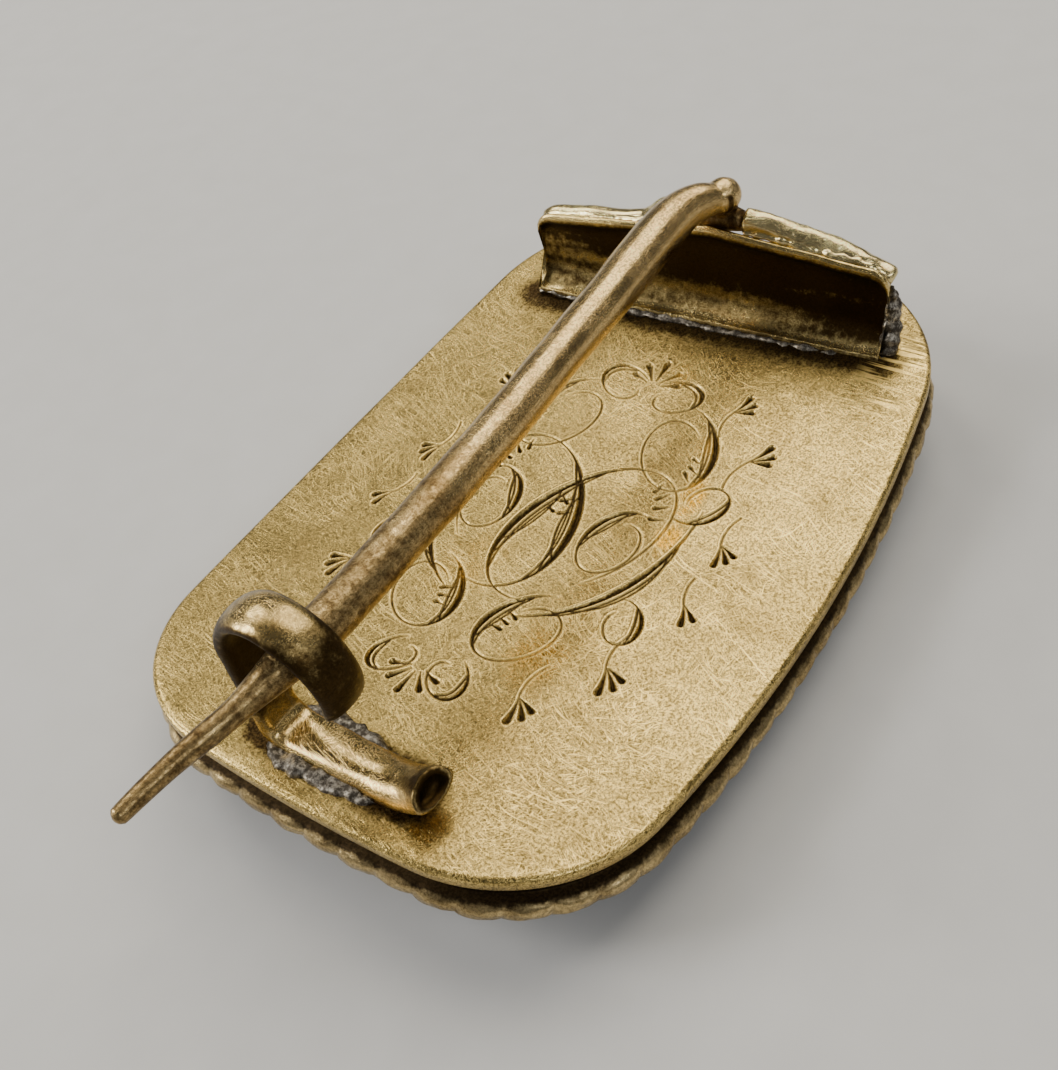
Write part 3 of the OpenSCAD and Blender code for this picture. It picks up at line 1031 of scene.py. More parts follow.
MID_BEND_R = (BEND_R + FRONT_BEND_R) / 2
UPPER_ROWS = [
    # how far out, how deep, radius of the bend
    (-SEAT_IN, PLATE_T + 0.06, BEND_R + PLATE_T),
    (-GROOVE_IN - 0.02, PLATE_T + 0.06, BEND_R + PLATE_T),
    (-GROOVE_IN, PLATE_T + 0.12, BEND_R + PLATE_T),
    (-GROOVE_IN, MOULD_TOP - 0.06, MID_BEND_R),
    (-GROOVE_IN + 0.05, MOULD_TOP, MID_BEND_R),
]
STEPS_AND_BEZEL = [
    # how far out, how deep
    (-0.42, 1.46),
    (-0.45, 1.5),
    (-0.45, 1.7),
    (-0.5, 1.75),
    (-0.9, 1.76),
    (-0.95, 1.8),
    (-0.95, 1.95),
    (-1.0, 2.0),
    (-1.44, 2.01),
    (-1.5, 2.06),
    (-1.5, 2.28),
    (-1.58, 2.345),
    (-1.86, 2.345),
    (-OPENING_IN, 2.28),
    (-OPENING_IN, LEDGE_DEPTH),
    (-SEAT_IN, LEDGE_DEPTH),
]
for row in UPPER_ROWS:
    add_ring(*row)
for share in np.linspace(0, 1, 13):
    down = MOULD_TOP + (MOULD_LOW - MOULD_TOP) * share
    drawn_in = 0.1 * (1 - math.sin(math.pi * share)) ** 2
    add_ring(moulding_out(share) - drawn_in, down, MID_BEND_R * (1 - share) + FRONT_BEND_R * share)
for out, down in STEPS_AND_BEZEL:
    add_ring(out, down, FRONT_BEND_R)
print("rows in the border's section:", len(ring_rows))

# %% Border mesh
ring_points = np.concatenate(ring_rows)
ring_faces = grid_faces(len(ring_rows), AROUND)
base = (len(ring_rows) - 1) * AROUND
for k in range(AROUND):
    n = (k + 1) % AROUND
    ring_faces.append((base + k, base + n, n, k))
border = new_piece("chased_border", ring_points, [f[::-1] for f in ring_faces])
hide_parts("border")

# %% [markdown]
# ## The pin
# The pin is one tapered wire. It is thick at the hinge, thins where it passes through the catch and
# ends in a blunt point. At the hinge it bends back and down into a nub, and a crossbar turns in the
# tube. A curve with a bevel would do for even wire. This one changes its thickness all the way, so it
# is a table of places with a radius each, made smooth and then a little uneven.

# %% Pin
STEM_Z = 4.9
STEM = [
    # x, y, z, radius
    (-15.215, 0.425, STEM_Z, 0.05),
    (-15.18, 0.42, STEM_Z, 0.13),
    (-15.12, 0.415, STEM_Z, 0.185),
    (-15.03, 0.41, STEM_Z, 0.212),
    (-14.4, 0.36, STEM_Z, 0.235),
    (-13.6, 0.27, STEM_Z, 0.262),
    (-12.8, 0.13, STEM_Z, 0.295),
    (-12.0, 0.0, STEM_Z, 0.315),
    (-11.2, -0.08, STEM_Z, 0.4),
    (-10.4, -0.15, STEM_Z, 0.5),
    (-9.6, -0.2, STEM_Z, 0.55),
    (-8.0, -0.25, STEM_Z, 0.572),
    (-5.5, -0.245, STEM_Z, 0.588),
    (-2.5, -0.22, STEM_Z, 0.612),
    (-1.0, -0.17, STEM_Z, 0.62),
    (0.5, -0.09, STEM_Z, 0.622),
    (2.0, -0.02, STEM_Z, 0.645),
    (3.5, 0.03, STEM_Z, 0.668),
    (5.0, 0.12, STEM_Z, 0.688),
    (6.5, 0.19, STEM_Z, 0.69),
    (7.4, 0.19, STEM_Z, 0.66),
    (8.0, 0.1, STEM_Z, 0.61),
    (8.5, -0.1, STEM_Z - 0.03, 0.56),
    (8.82, -0.26, STEM_Z - 0.1, 0.5),
    (8.95, -0.33, STEM_Z - 0.13, 0.485),
    (9.07, -0.39, STEM_Z - 0.15, 0.51),
    (9.3, -0.495, STEM_Z - 0.18, 0.54),
    (9.5, -0.6, STEM_Z - 0.2, 0.47),
    (9.63, -0.665, STEM_Z - 0.22, 0.36),
    (9.71, -0.705, STEM_Z - 0.23, 0.24),
    (9.75, -0.725, STEM_Z - 0.235, 0.1),
]
stem_path = smooth_path(STEM, 900)
stem_sections = round_sections(stem_path[:, :3], stem_path[:, 3], 40)
pin_piece = skin("pin_stem", lumpy(stem_sections, 1.4, 0.02, 12.0), "pin")
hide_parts("pin")

# %% Crossbar and knuckle
BAR_R = 0.2
KNUCKLE_R = 0.36
BAR = [
    # v, radius
    (GAP_LOW - COLLAR_L + 0.05, BAR_R),
    (GAP_LOW + 0.07, BAR_R),
    (GAP_LOW + 0.1, KNUCKLE_R - 0.04),
    (-1.0, KNUCKLE_R),
    (-0.8, KNUCKLE_R + 0.02),
    (-0.6, KNUCKLE_R + 0.04),
    (-0.3, KNUCKLE_R + 0.02),
    (0.1, KNUCKLE_R),
    (GAP_HIGH - 0.1, KNUCKLE_R - 0.04),
    (GAP_HIGH - 0.07, BAR_R),
    (GAP_HIGH + COLLAR_L - 0.05, BAR_R),
]
ROOT = [
    # u, v, z, radius
    (AXIS_U, -0.6, AXIS_Z, 0.34),
    (AXIS_U + 0.01, -0.6, AXIS_Z + 0.3, 0.4),
    (AXIS_U + 0.03, -0.58, AXIS_Z + 0.66, 0.44),
]
bar_path = np.array([(AXIS_U, v, AXIS_Z) for v, _ in BAR])
bar_sections = round_sections(bar_path, [radius for _, radius in BAR], 32)
bar_sections[2:-2] = lumpy(bar_sections[2:-2], 0.3, 0.06, 15.0)
skin("pin_crossbar", from_hinge(bar_sections), "pin")
root_path = np.array(ROOT)
root_sections = round_sections(root_path[:, :3], root_path[:, 3], 32, up=(1, 0, 0))
skin("pin_root", from_hinge(lumpy(root_sections, 0.4, 0.05, 16.0)), "pin")

# %% [markdown]
# ## Masks for tarnish, dirt and painted shade
# Gold itself never tarnishes, but old low-carat alloys go brown where nothing rubs them: inside the
# bracket, under the hook, in the groove. Some masks are painted shade as well: deeper inside the bracket
# towards its lip, on the sides of the hook and the end of its foot, on the plate by and behind the
# bracket, and on the pin's stem. The masks are worked out from each piece's shape, one value a point,
# so that dirt and shade sit where they would on the real brooch. A mask painted by hand would have
# to be painted again after each change to the shape.


# %% Masks from shape
def read_points(piece, kind):
    """Three numbers for each point of the piece: its place or its normal."""
    mesh = piece.data
    flat = np.zeros(len(mesh.vertices) * 3, np.float32)
    mesh.vertices.foreach_get(kind, flat)
    return flat.reshape(-1, 3)


def points_of(piece):
    """The piece's points in the plate's millimetres."""
    return read_points(piece, "co") / MM - PLACE


def normals_of(piece):
    """The way that the surface faces at each point."""
    return read_points(piece, "normal")


def ramp(values, low, high):
    """0 at low and 1 at high, with a soft start and end."""
    t = np.clip((np.asarray(values, float) - low) / (high - low), 0, 1)
    return t * t * (3 - 2 * t)


def near_segment(points, a, b):
    """Distance of each point from the segment between a and b."""
    a, b = np.asarray(a, float), np.asarray(b, float)
    t = np.clip(((points - a) @ (b - a)) / ((b - a) @ (b - a)), 0, 1)
    return np.linalg.norm(points - (a + t[:, None] * (b - a)), axis=1)


def share_dark(values):
    """How much of a piece a mask covers, as a share of its points."""
    return round(float(np.mean(values)), 3)


# %% Masks of the bracket and the catch
hinge_turn = np.array([math.cos(BRACKET_SKEW), math.sin(BRACKET_SKEW), 0])
places, facing = points_of(bracket), normals_of(bracket)
hinge_v = places[:, 1] * hinge_turn[0] - (places[:, 0] - BRACKET_X) * hinge_turn[1]
lip_top = np.array([lip_centre_z(v) for v in np.clip(hinge_v, -BRACKET_HALF, BRACKET_HALF)])
lip_top += (CURL_R + SHEET_T) * math.sin(math.radians(LIP_TURN))
# Inside the bracket: brown tarnish, with painted shade that deepens upwards under the lip and towards its
# end at negative y
inside_bracket = np.clip(-(facing @ hinge_turn) * 1.3 + 0.1, 0, 1) * ramp(lip_top - places[:, 2], 0.1, 0.4)
streaks = rough(places * (0.5, 0.35, 3.5), 1.0, 0.35, 21.0)
painted_shade_above = 0.62 + 0.38 * ramp(places[:, 2] - 0.15 * places[:, 1], 1.1, 2.2)
bracket_tarnish_and_shade = inside_bracket * np.clip(painted_shade_above + streaks, 0, 1)
add_mask(bracket, "brown", bracket_tarnish_and_shade)

places, facing = points_of(catch_band), normals_of(catch_band)
towards_axis = np.column_stack([np.zeros(len(places)), CROOK_Y - places[:, 1], CROOK_Z - places[:, 2]])
towards_axis /= np.linalg.norm(towards_axis, axis=1)[:, None] + 1e-9
# Darker inside the crook
inside_crook = np.clip((facing * towards_axis).sum(1) * 1.1 + 0.1, 0, 1) * ramp(places[:, 2], 1.2, 2.4)
# Sides darker than the top: painted shade
sides = (0.85 - 0.5 * ramp(facing[:, 2], 0.55, 0.95)) * ramp(places[:, 2], 1.5, 2.6)
catch_shade_and_tarnish = np.maximum(inside_crook, sides)
# The end face of the foot and the bottom of its hollow are painted dark as shade
end_points = 2 * len(foot_end)
catch_shade_and_tarnish[-end_points - 2:-2] = 1.0
catch_shade_and_tarnish[-1] = 1.0
add_mask(catch_band, "brown", catch_shade_and_tarnish)
print("brown share of bracket and catch:", share_dark(bracket_tarnish_and_shade), share_dark(catch_shade_and_tarnish))

# %% Masks of the border and the back sheet
FILED_FROM = (7.3, -6.3, 0.5)
FILED_TO = (9.0, -6.6, 0.7)
standing = np.linalg.norm(points_of(border)[:, :2], axis=1)
rim_base = np.concatenate([np.linalg.norm(rim_points(ring_turns, MOULD_OUT), axis=1)] * len(ring_rows))
groove_brown = 1 - ramp(standing - rim_base, -0.16, 0.1)
add_mask(border, "brown", groove_brown)

places = points_of(back_sheet)
foot_a, foot_b = from_hinge([[0, -BRACKET_HALF, 0.55], [0, BRACKET_HALF, 0.55]])
# Painted shadow of the bracket on the plate by its foot and behind it; dirt along the catch; less on the
# rolled rim, which is rubbed clean
by_bracket = 1 - ramp(near_segment(places, foot_a, foot_b), 0.1, 1.5)
by_catch = 1 - ramp(near_segment(places, (CATCH_X, 1.8, 0.8), (CATCH_X, -2.2, 0.8)), 0.55, 1.5)
behind = ramp(places[:, 0], 8.6, 9.2) * 0.5
edge = ramp(np.abs(places[:, 2] - bend(places[:, 0])), 0.1, 0.3) * 0.5
sheet_shadow_and_dirt = np.clip(np.maximum(np.maximum(by_bracket, by_catch), behind), 0, 1) * (1 - edge)
add_mask(back_sheet, "brown", sheet_shadow_and_dirt)
filed = 1 - ramp(near_segment(places, FILED_FROM, FILED_TO), 0.4, 1.2)
add_mask(back_sheet, "filed", filed)
print("brown share of border and sheet:", share_dark(groove_brown), share_dark(sheet_shadow_and_dirt))

# %% Masks of the pin
HIDDEN_BROWN = 0.75
NUB_X = 8.95
for name in ("pin_crossbar", "pin_root"):
    piece = bpy.data.objects[name]
    add_mask(piece, "brown", np.full(len(piece.data.vertices), HIDDEN_BROWN))
places = points_of(pin_piece)
# Painted shade under the stem at the nub, and on the stem towards its point
under_nub = 0.8 * (1 - ramp(np.abs(places[:, 0] - NUB_X), 0.03, 0.16)) * (1 - ramp(places[:, 2], 4.9, 5.15))
towards_point = 0.6 * (1 - ramp(places[:, 0], -8.0, 3.0))
stem_painted_shade = np.maximum(under_nub, towards_point)
add_mask(pin_piece, "brown", stem_painted_shade)
print("brown share of the stem:", share_dark(stem_painted_shade))

# %% [markdown]
# ## Shared node groups
# Fine scratches and tarnish are on every gold piece, so each is a node group with named inputs. The
# tarnish group also mixes in each piece's dark mask, which holds painted shade on some pieces.
# Copies of the same nodes in each material would have to be changed one by one. The groups only put
# out masks, colours and heights, and the shader stays in each material.


# %% Node helpers
def add_node(tree, kind, **values):
    """A node of that kind; values are its settings or, where it has such an input, the input's default."""
    node = tree.nodes.new(kind)
    for name, value in values.items():
        if name in node.inputs:
            node.inputs[name].default_value = value
        else:
            setattr(node, name, value)
    return node


def connect(tree, *pairs):
    """Links given as from-socket, to-socket pairs."""
    for a, b in pairs:
        tree.links.new(a, b)


def new_group(name, ins, outs):
    """An empty node group; ins and outs are names with a socket type and a default."""
    tree = bpy.data.node_groups.new(name, "ShaderNodeTree")
    for label, kind, default in ins:
        socket = tree.interface.new_socket(label, in_out="INPUT", socket_type=kind)
        if default is not None:
            socket.default_value = default
    for label, kind in outs:
        tree.interface.new_socket(label, in_out="OUTPUT", socket_type=kind)
    return tree, tree.nodes.new("NodeGroupInput"), tree.nodes.new("NodeGroupOutput")


# %% Helpers for values and colours
def math_node(tree, operation, a, b, clamp=False):
    """A Math node on two values, each a socket or a number; returns its output."""
    node = add_node(tree, "ShaderNodeMath", operation=operation, use_clamp=clamp)
    for k, value in enumerate((a, b)):
        if isinstance(value, (int, float)):
            node.inputs[k].default_value = value
        else:
            tree.links.new(value, node.inputs[k])
    return node.outputs[0]


def range_node(tree, value, low, high, to_low=0.0, to_high=1.0):
    """A soft step from to_low to to_high as the value goes from low to high; returns its output."""
    node = add_node(tree, "ShaderNodeMapRange", interpolation_type="SMOOTHSTEP")
    for label, number in (("From Min", low), ("From Max", high), ("To Min", to_low), ("To Max", to_high)):
        node.inputs[label].default_value = number
    tree.links.new(value, node.inputs["Value"])
    return node.outputs["Result"]


def noise_node(tree, vector, **values):
    """A noise texture at that place; returns its output between 0 and 1."""
    node = add_node(tree, "ShaderNodeTexNoise", **values)
    connect(tree, (vector, node.inputs["Vector"]))
    return node.outputs["Fac"]


def mix_colour(tree, factor, a, b, blend="MIX"):
    """Mixes two colours, each a socket or a tuple; returns the colour output."""
    node = add_node(tree, "ShaderNodeMix", data_type="RGBA", blend_type=blend)
    for index, value in ((0, factor), (6, a), (7, b)):
        if isinstance(value, (int, float, tuple)):
            node.inputs[index].default_value = value
        else:
            tree.links.new(value, node.inputs[index])
    return node.outputs[2]


# %% Scratch group
SCRATCH_WAYS = [
    # turn in degrees, lines per mm along and across them, shift
    (17, 0.9, 30.0, 0.0),
    (-41, 1.3, 36.0, 3.0),
    (74, 1.0, 33.0, 7.0),
    (108, 0.7, 28.0, 11.0),
    (-8, 1.5, 40.0, 17.0),
    (38, 0.22, 24.0, 23.0),
    (-63, 0.28, 26.0, 29.0),
]
LINE_RANGE = (0.605, 0.685)
scratches, group_in, group_out = new_group(
    "fine scratches",
    [("Vector", "NodeSocketVector", None), ("Amount", "NodeSocketFloat", 1.0)],
    [("Mask", "NodeSocketFloat"), ("Height", "NodeSocketFloat")])
bows = add_node(scratches, "ShaderNodeTexNoise", Scale=0.3, Detail=1.0)
bowed = add_node(scratches, "ShaderNodeVectorMath", operation="MULTIPLY_ADD")
bowed.inputs[1].default_value = (2.5, 2.5, 0.0)
connect(scratches,
        (group_in.outputs["Vector"], bows.inputs["Vector"]),
        (bows.outputs["Color"], bowed.inputs[0]),
        (group_in.outputs["Vector"], bowed.inputs[2]))
total = None
for turn, along_scale, across_scale, shift in SCRATCH_WAYS:
    rotation = (0, 0, math.radians(turn))
    turned = add_node(scratches, "ShaderNodeMapping", Rotation=rotation, Location=(shift,) * 3)
    stretched = add_node(scratches, "ShaderNodeMapping", Scale=(along_scale, across_scale, across_scale))
    connect(scratches,
            (bowed.outputs[0], turned.inputs["Vector"]),
            (turned.outputs[0], stretched.inputs["Vector"]))
    lines = noise_node(scratches, stretched.outputs[0],
                       Scale=1.0, Detail=1.0, Roughness=0.5, Distortion=0.1)
    line = range_node(scratches, lines, *LINE_RANGE)
    total = line if total is None else math_node(scratches, "MAXIMUM", total, line)
patches = noise_node(scratches, group_in.outputs["Vector"], Scale=0.6, Detail=2.0)
patchy = range_node(scratches, patches, 0.35, 0.6, 0.3, 1.0)
total = math_node(scratches, "MULTIPLY", total, patchy)
total = math_node(scratches, "MULTIPLY", total, group_in.outputs["Amount"])
furrows = math_node(scratches, "MULTIPLY", total, -1.0)
connect(scratches, (total, group_out.inputs["Mask"]), (furrows, group_out.inputs["Height"]))
print("ways of the scratches:", len(SCRATCH_WAYS))

# %% Tarnish group
tarnish, group_in, group_out = new_group(
    "tarnish and painted shade",
    [("Vector", "NodeSocketVector", None),
     ("Gold", "NodeSocketColor", (0.8, 0.6, 0.3, 1)),
     ("Stain", "NodeSocketColor", (0.4, 0.28, 0.12, 1)),
     ("Dark", "NodeSocketColor", (0.06, 0.035, 0.015, 1)),
     ("Stain Amount", "NodeSocketFloat", 0.5),
     ("Dark Mask", "NodeSocketFloat", 0.0)],
    [("Color", "NodeSocketColor"), ("Roughness", "NodeSocketFloat"), ("Mask", "NodeSocketFloat")])
vector = group_in.outputs["Vector"]
broad = noise_node(tarnish, vector, Scale=0.45, Detail=4.0, Roughness=0.65, Distortion=0.6)
small = noise_node(tarnish, vector, Scale=4.0, Detail=5.0, Roughness=0.7)
broad_part = math_node(tarnish, "MULTIPLY", broad, 0.7)
small_part = math_node(tarnish, "MULTIPLY", small, 0.3)
mottle = math_node(tarnish, "ADD", broad_part, small_part)
stain = range_node(tarnish, mottle, 0.42, 0.66)
stain = math_node(tarnish, "MULTIPLY", stain, group_in.outputs["Stain Amount"], clamp=True)
stained = mix_colour(tarnish, stain, group_in.outputs["Gold"], group_in.outputs["Stain"])
uneven = math_node(tarnish, "SUBTRACT", small, 0.5)
uneven = math_node(tarnish, "MULTIPLY", uneven, 0.9)
# The dark mask mixed in here holds each piece's dirt and tarnish, and on the bracket, catch, plate and pin
# also painted shade
broken_edge = math_node(tarnish, "ADD", group_in.outputs["Dark Mask"], uneven)
inside_edge = range_node(tarnish, broken_edge, 0.2, 0.85)
masked = range_node(tarnish, group_in.outputs["Dark Mask"], 0.02, 0.2)
dark = math_node(tarnish, "MULTIPLY", inside_edge, masked)
colour = mix_colour(tarnish, dark, stained, group_in.outputs["Dark"])
duller_stain = math_node(tarnish, "MULTIPLY", mottle, 0.3)
duller_where_dark = math_node(tarnish, "MULTIPLY", dark, 0.22)
duller = math_node(tarnish, "ADD", duller_stain, duller_where_dark)
connect(tarnish,
        (colour, group_out.inputs["Color"]),
        (duller, group_out.inputs["Roughness"]),
        (dark, group_out.inputs["Mask"]))
print("groups:", [g.name for g in bpy.data.node_groups])

# %% [markdown]
# ## Gold in six states
# The plate is satin, scoured by years of cleaning, with raised rims along its cuts, file marks by the
# bracket and orange stains. The bracket is much the same gold, but brown inside, from tarnish and
# painted shade. The tube is palest, because fingers rub it. The catch and the border are browner, and
# the pin is a redder alloy. One function builds all six from the two groups, with its own colours,
# scratches and masks for each, and colours scratches, cut rims and file marks lighter as painted glints.


# %% Parts of the gold
def new_material(name):
    """A new material, its node tree and its shader."""
    material = bpy.data.materials.new(name)
    material.use_nodes = True
    return material, material.node_tree, material.node_tree.nodes["Principled BSDF"]


def in_millimetres(tree):
    """Object coordinates, in millimetres."""
    coordinates = add_node(tree, "ShaderNodeTexCoord")
    scaled = add_node(tree, "ShaderNodeMapping", Scale=(1000, 1000, 1000))
    connect(tree, (coordinates.outputs["Object"], scaled.inputs["Vector"]))
    return scaled.outputs[0]


def spot(tree, vector, centre, radius, stretch):
    """A soft spot with broken edges round a place in millimetres."""
    shift = tuple(-c * s / radius for c, s in zip(centre, stretch))
    scale = tuple(s / radius for s in stretch)
    moved = add_node(tree, "ShaderNodeMapping", vector_type="POINT", Location=shift, Scale=scale)
    broken = noise_node(tree, vector, Scale=1.6, Detail=4.0)
    length = add_node(tree, "ShaderNodeVectorMath", operation="LENGTH")
    connect(tree, (vector, moved.inputs["Vector"]), (moved.outputs[0], length.inputs[0]))
    bumps = math_node(tree, "MULTIPLY", broken, 0.9)
    return range_node(tree, math_node(tree, "ADD", length.outputs["Value"], bumps), 1.35, 0.6)


# %% Masks and marks in the gold
FILE_TURN = 8


def strongest(tree, mask):
    """The strongest of several point attributes, each a name with a strength; returns its output."""
    total_mask = None
    for attribute_name, strength in mask:
        attribute = add_node(tree, "ShaderNodeAttribute", attribute_name=attribute_name)
        part = math_node(tree, "MULTIPLY", attribute.outputs["Fac"], strength)
        total_mask = part if total_mask is None else math_node(tree, "MAXIMUM", total_mask, part)
    return total_mask


def file_ridges(tree, vector):
    """Ridges that a coarse file left where the piece's mask says so; returns their output."""
    turn = (0, 0, math.radians(FILE_TURN))
    stretched = add_node(tree, "ShaderNodeMapping", Rotation=turn, Scale=(8.0, 0.4, 1.0))
    marks = noise_node(tree, stretched.outputs[0], Scale=1.0, Detail=3.0)
    where = add_node(tree, "ShaderNodeAttribute", attribute_name="filed")
    connect(tree, (vector, stretched.inputs["Vector"]))
    ridges = range_node(tree, marks, 0.48, 0.56)
    return math_node(tree, "MULTIPLY", ridges, where.outputs["Fac"])


# %% Gold
GLINT_GAIN = 1.45
RIM_SHINE = 0.75
LINE_SHARE = 0.85


def gold(name, clean, stain, dark, stain_amount=0.9, scratch=0.8, base_rough=0.13, bump=0.6, grain=0.3,
         mask=(("brown", 1.0),), scratch_turn=(0, 0, 0), spots=(), engraved=False):
    """A worn gold; mask lists the attributes of the piece that hold its dark places."""
    material, tree, shader = new_material(name)
    shader.inputs["Metallic"].default_value = 1.0
    vector = in_millimetres(tree)
    turned = add_node(tree, "ShaderNodeMapping", Rotation=scratch_turn)
    lines = add_node(tree, "ShaderNodeGroup", node_tree=scratches, Amount=scratch)
    worn = add_node(tree, "ShaderNodeGroup", node_tree=tarnish, Gold=(*clean, 1), Stain=(*stain, 1),
                    Dark=(*dark, 1))
    worn.inputs["Stain Amount"].default_value = stain_amount
    connect(tree,
            (vector, turned.inputs["Vector"]),
            (turned.outputs[0], lines.inputs["Vector"]),
            (vector, worn.inputs["Vector"]))
    # The piece's dark mask, with its dirt, tarnish and painted shade
    connect(tree, (strongest(tree, mask), worn.inputs["Dark Mask"]))

    colour = worn.outputs["Color"]
    for centre, radius, stretch, tint, strength in spots:
        there = math_node(tree, "MULTIPLY", spot(tree, vector, centre, radius, stretch), strength)
        colour = mix_colour(tree, there, colour, (*tint, 1))
    fine = noise_node(tree, vector, Scale=14.0, Detail=4.0, Roughness=0.7)
    speckle = range_node(tree, fine, 0.41, 0.58, 1 - grain, 1.0)
    colour = mix_colour(tree, 1.0, colour, speckle, "MULTIPLY")

    # Scratches, rims of cuts and file ridges get a lighter colour for their glints: painted highlights,
    # kept off the dark masks
    glint_colour = (*[min(1, c * GLINT_GAIN) for c in clean], 1)
    free_of_dark_mask = math_node(tree, "SUBTRACT", 1.0, worn.outputs["Mask"])
    clean_share = math_node(tree, "MULTIPLY", free_of_dark_mask, LINE_SHARE)
    painted_glints = math_node(tree, "MULTIPLY", lines.outputs["Mask"], clean_share)
    # Rims of the cuts are coloured lighter too: a painted highlight
    if engraved:
        edges = add_node(tree, "ShaderNodeAttribute", attribute_name="cut_rim")
        rims = math_node(tree, "MULTIPLY", edges.outputs["Fac"], RIM_SHINE)
        painted_glints = math_node(tree, "MAXIMUM", painted_glints, rims)
    colour = mix_colour(tree, painted_glints, colour, glint_colour)
    grains = math_node(tree, "MULTIPLY", fine, grain)
    height = math_node(tree, "ADD", grains, lines.outputs["Height"])
    if engraved:
        # File ridges get the same painted highlight, besides their relief
        ridge = file_ridges(tree, vector)
        colour = mix_colour(tree, math_node(tree, "MULTIPLY", ridge, LINE_SHARE), colour, glint_colour)
        height = math_node(tree, "ADD", height, math_node(tree, "MULTIPLY", ridge, 4.0))

    dullness = math_node(tree, "ADD", worn.outputs["Roughness"], base_rough)
    shine = math_node(tree, "MULTIPLY", speckle, -0.1)
    dullness = math_node(tree, "ADD", dullness, shine, clamp=True)
    relief = add_node(tree, "ShaderNodeBump", Strength=bump, Distance=0.000006)
    connect(tree,
            (colour, shader.inputs["Base Color"]),
            (dullness, shader.inputs["Roughness"]),
            (height, relief.inputs["Height"]),
            (relief.outputs[0], shader.inputs["Normal"]))
    print("finish:", name)
    return material


def dress(piece, material):
    """Puts one material on a piece, in place of any that it has."""
    piece.data.materials.clear()
    piece.data.materials.append(material)


# %% Gold of the plate
PALE_GOLD = (0.66, 0.475, 0.155)
OLD_GOLD = (0.41, 0.285, 0.095)
BROWN = (0.07, 0.042, 0.014)
ORANGE = (0.56, 0.29, 0.03)
RUST = (0.70, 0.36, 0.02)


def on_model(x, y):
    """A place on the plate, in the model's millimetres."""
    return (x + PLATE_X, y, CASE_DEPTH + ground(x))


PLATE_SPOTS = [
    # middle, radius, stretch, colour, strength
    (on_model(1.7, -3.2), 0.75, (0.6, 1.3, 1), RUST, 1.0),
    (on_model(0.1, -3.4), 0.75, (0.7, 1.2, 1), RUST, 1.0),
    (on_model(3.5, -2.6), 0.5, (0.6, 1.2, 1), ORANGE, 0.8),
    (on_model(6.0, -0.5), 0.75, (1, 1, 1), RUST, 0.95),
    (on_model(-5.2, -2.4), 1.3, (0.8, 1.0, 1), ORANGE, 0.8),
    (on_model(-3.4, 1.2), 1.6, (0.8, 1.2, 1), ORANGE, 0.35),
    (on_model(2.6, -2.2), 1.6, (0.6, 1.2, 1), OLD_GOLD, 0.75),
    (on_model(5.6, 1.5), 2.8, (1, 0.5, 1), OLD_GOLD, 0.75),
    (on_model(-6.6, 6.0), 2.2, (0.6, 1.2, 1), OLD_GOLD, 0.45),
    (on_model(-8.6, -4.2), 2.4, (0.8, 0.8, 1), OLD_GOLD, 0.5),
]
# The plate's dark masks hold dirt and painted shade: on one wall of each cut, and by and behind the bracket
plate_gold = gold("satin plate gold", PALE_GOLD, OLD_GOLD, BROWN, stain_amount=0.85, scratch=1.0,
                  base_rough=0.2, bump=0.8, grain=0.72, mask=(("cut_dirt_and_shade", 1.0), ("brown", 0.95)),
                  spots=PLATE_SPOTS, engraved=True)
dress(back_sheet, plate_gold)

# %% Gold of the other pieces
# Each has a clean, a stained and a dark colour.
DARK_BROWN = (0.045, 0.026, 0.008)
STEM_TURN = (0, 0, math.radians(-17))
fitting_gold = gold("fitting gold", (0.74, 0.55, 0.22), (0.30, 0.20, 0.07), DARK_BROWN)
moulding_gold = gold("moulding gold", (0.60, 0.45, 0.21), (0.22, 0.15, 0.06), (0.04, 0.026, 0.012),
                     scratch=0.25, base_rough=0.24, bump=1.0, grain=0.45)
tube_gold = gold("tube gold", (0.84, 0.66, 0.32), (0.50, 0.36, 0.15), (0.06, 0.035, 0.012),
                 stain_amount=0.6)
catch_gold = gold("catch gold", (0.58, 0.42, 0.165), (0.26, 0.17, 0.06), DARK_BROWN)
wire_gold = gold("pin gold", (0.70, 0.50, 0.215), (0.36, 0.215, 0.075), (0.085, 0.048, 0.018),
                 stain_amount=0.8, scratch=0.6, base_rough=0.14, bump=0.8, grain=0.45,
                 scratch_turn=STEM_TURN)
dress(bracket, fitting_gold)
dress(catch_band, catch_gold)
dress(border, moulding_gold)
for name in ("hinge_tube_left", "hinge_tube_right", "tube_solder_left", "tube_solder_right"):
    dress(bpy.data.objects[name], tube_gold)
for name in ("pin_stem", "pin_crossbar", "pin_root"):
    dress(bpy.data.objects[name], wire_gold)

# %% [markdown]
# ## Solder, crystal and hair
# Lead solder and dirt are dark grey with bright specks. The front holds a low-domed crystal over a
# panel of plaited hair, the usual filling of such a brooch. Neither shows from behind, but both are
# there, so they get plain finishes on the solids of the model itself.

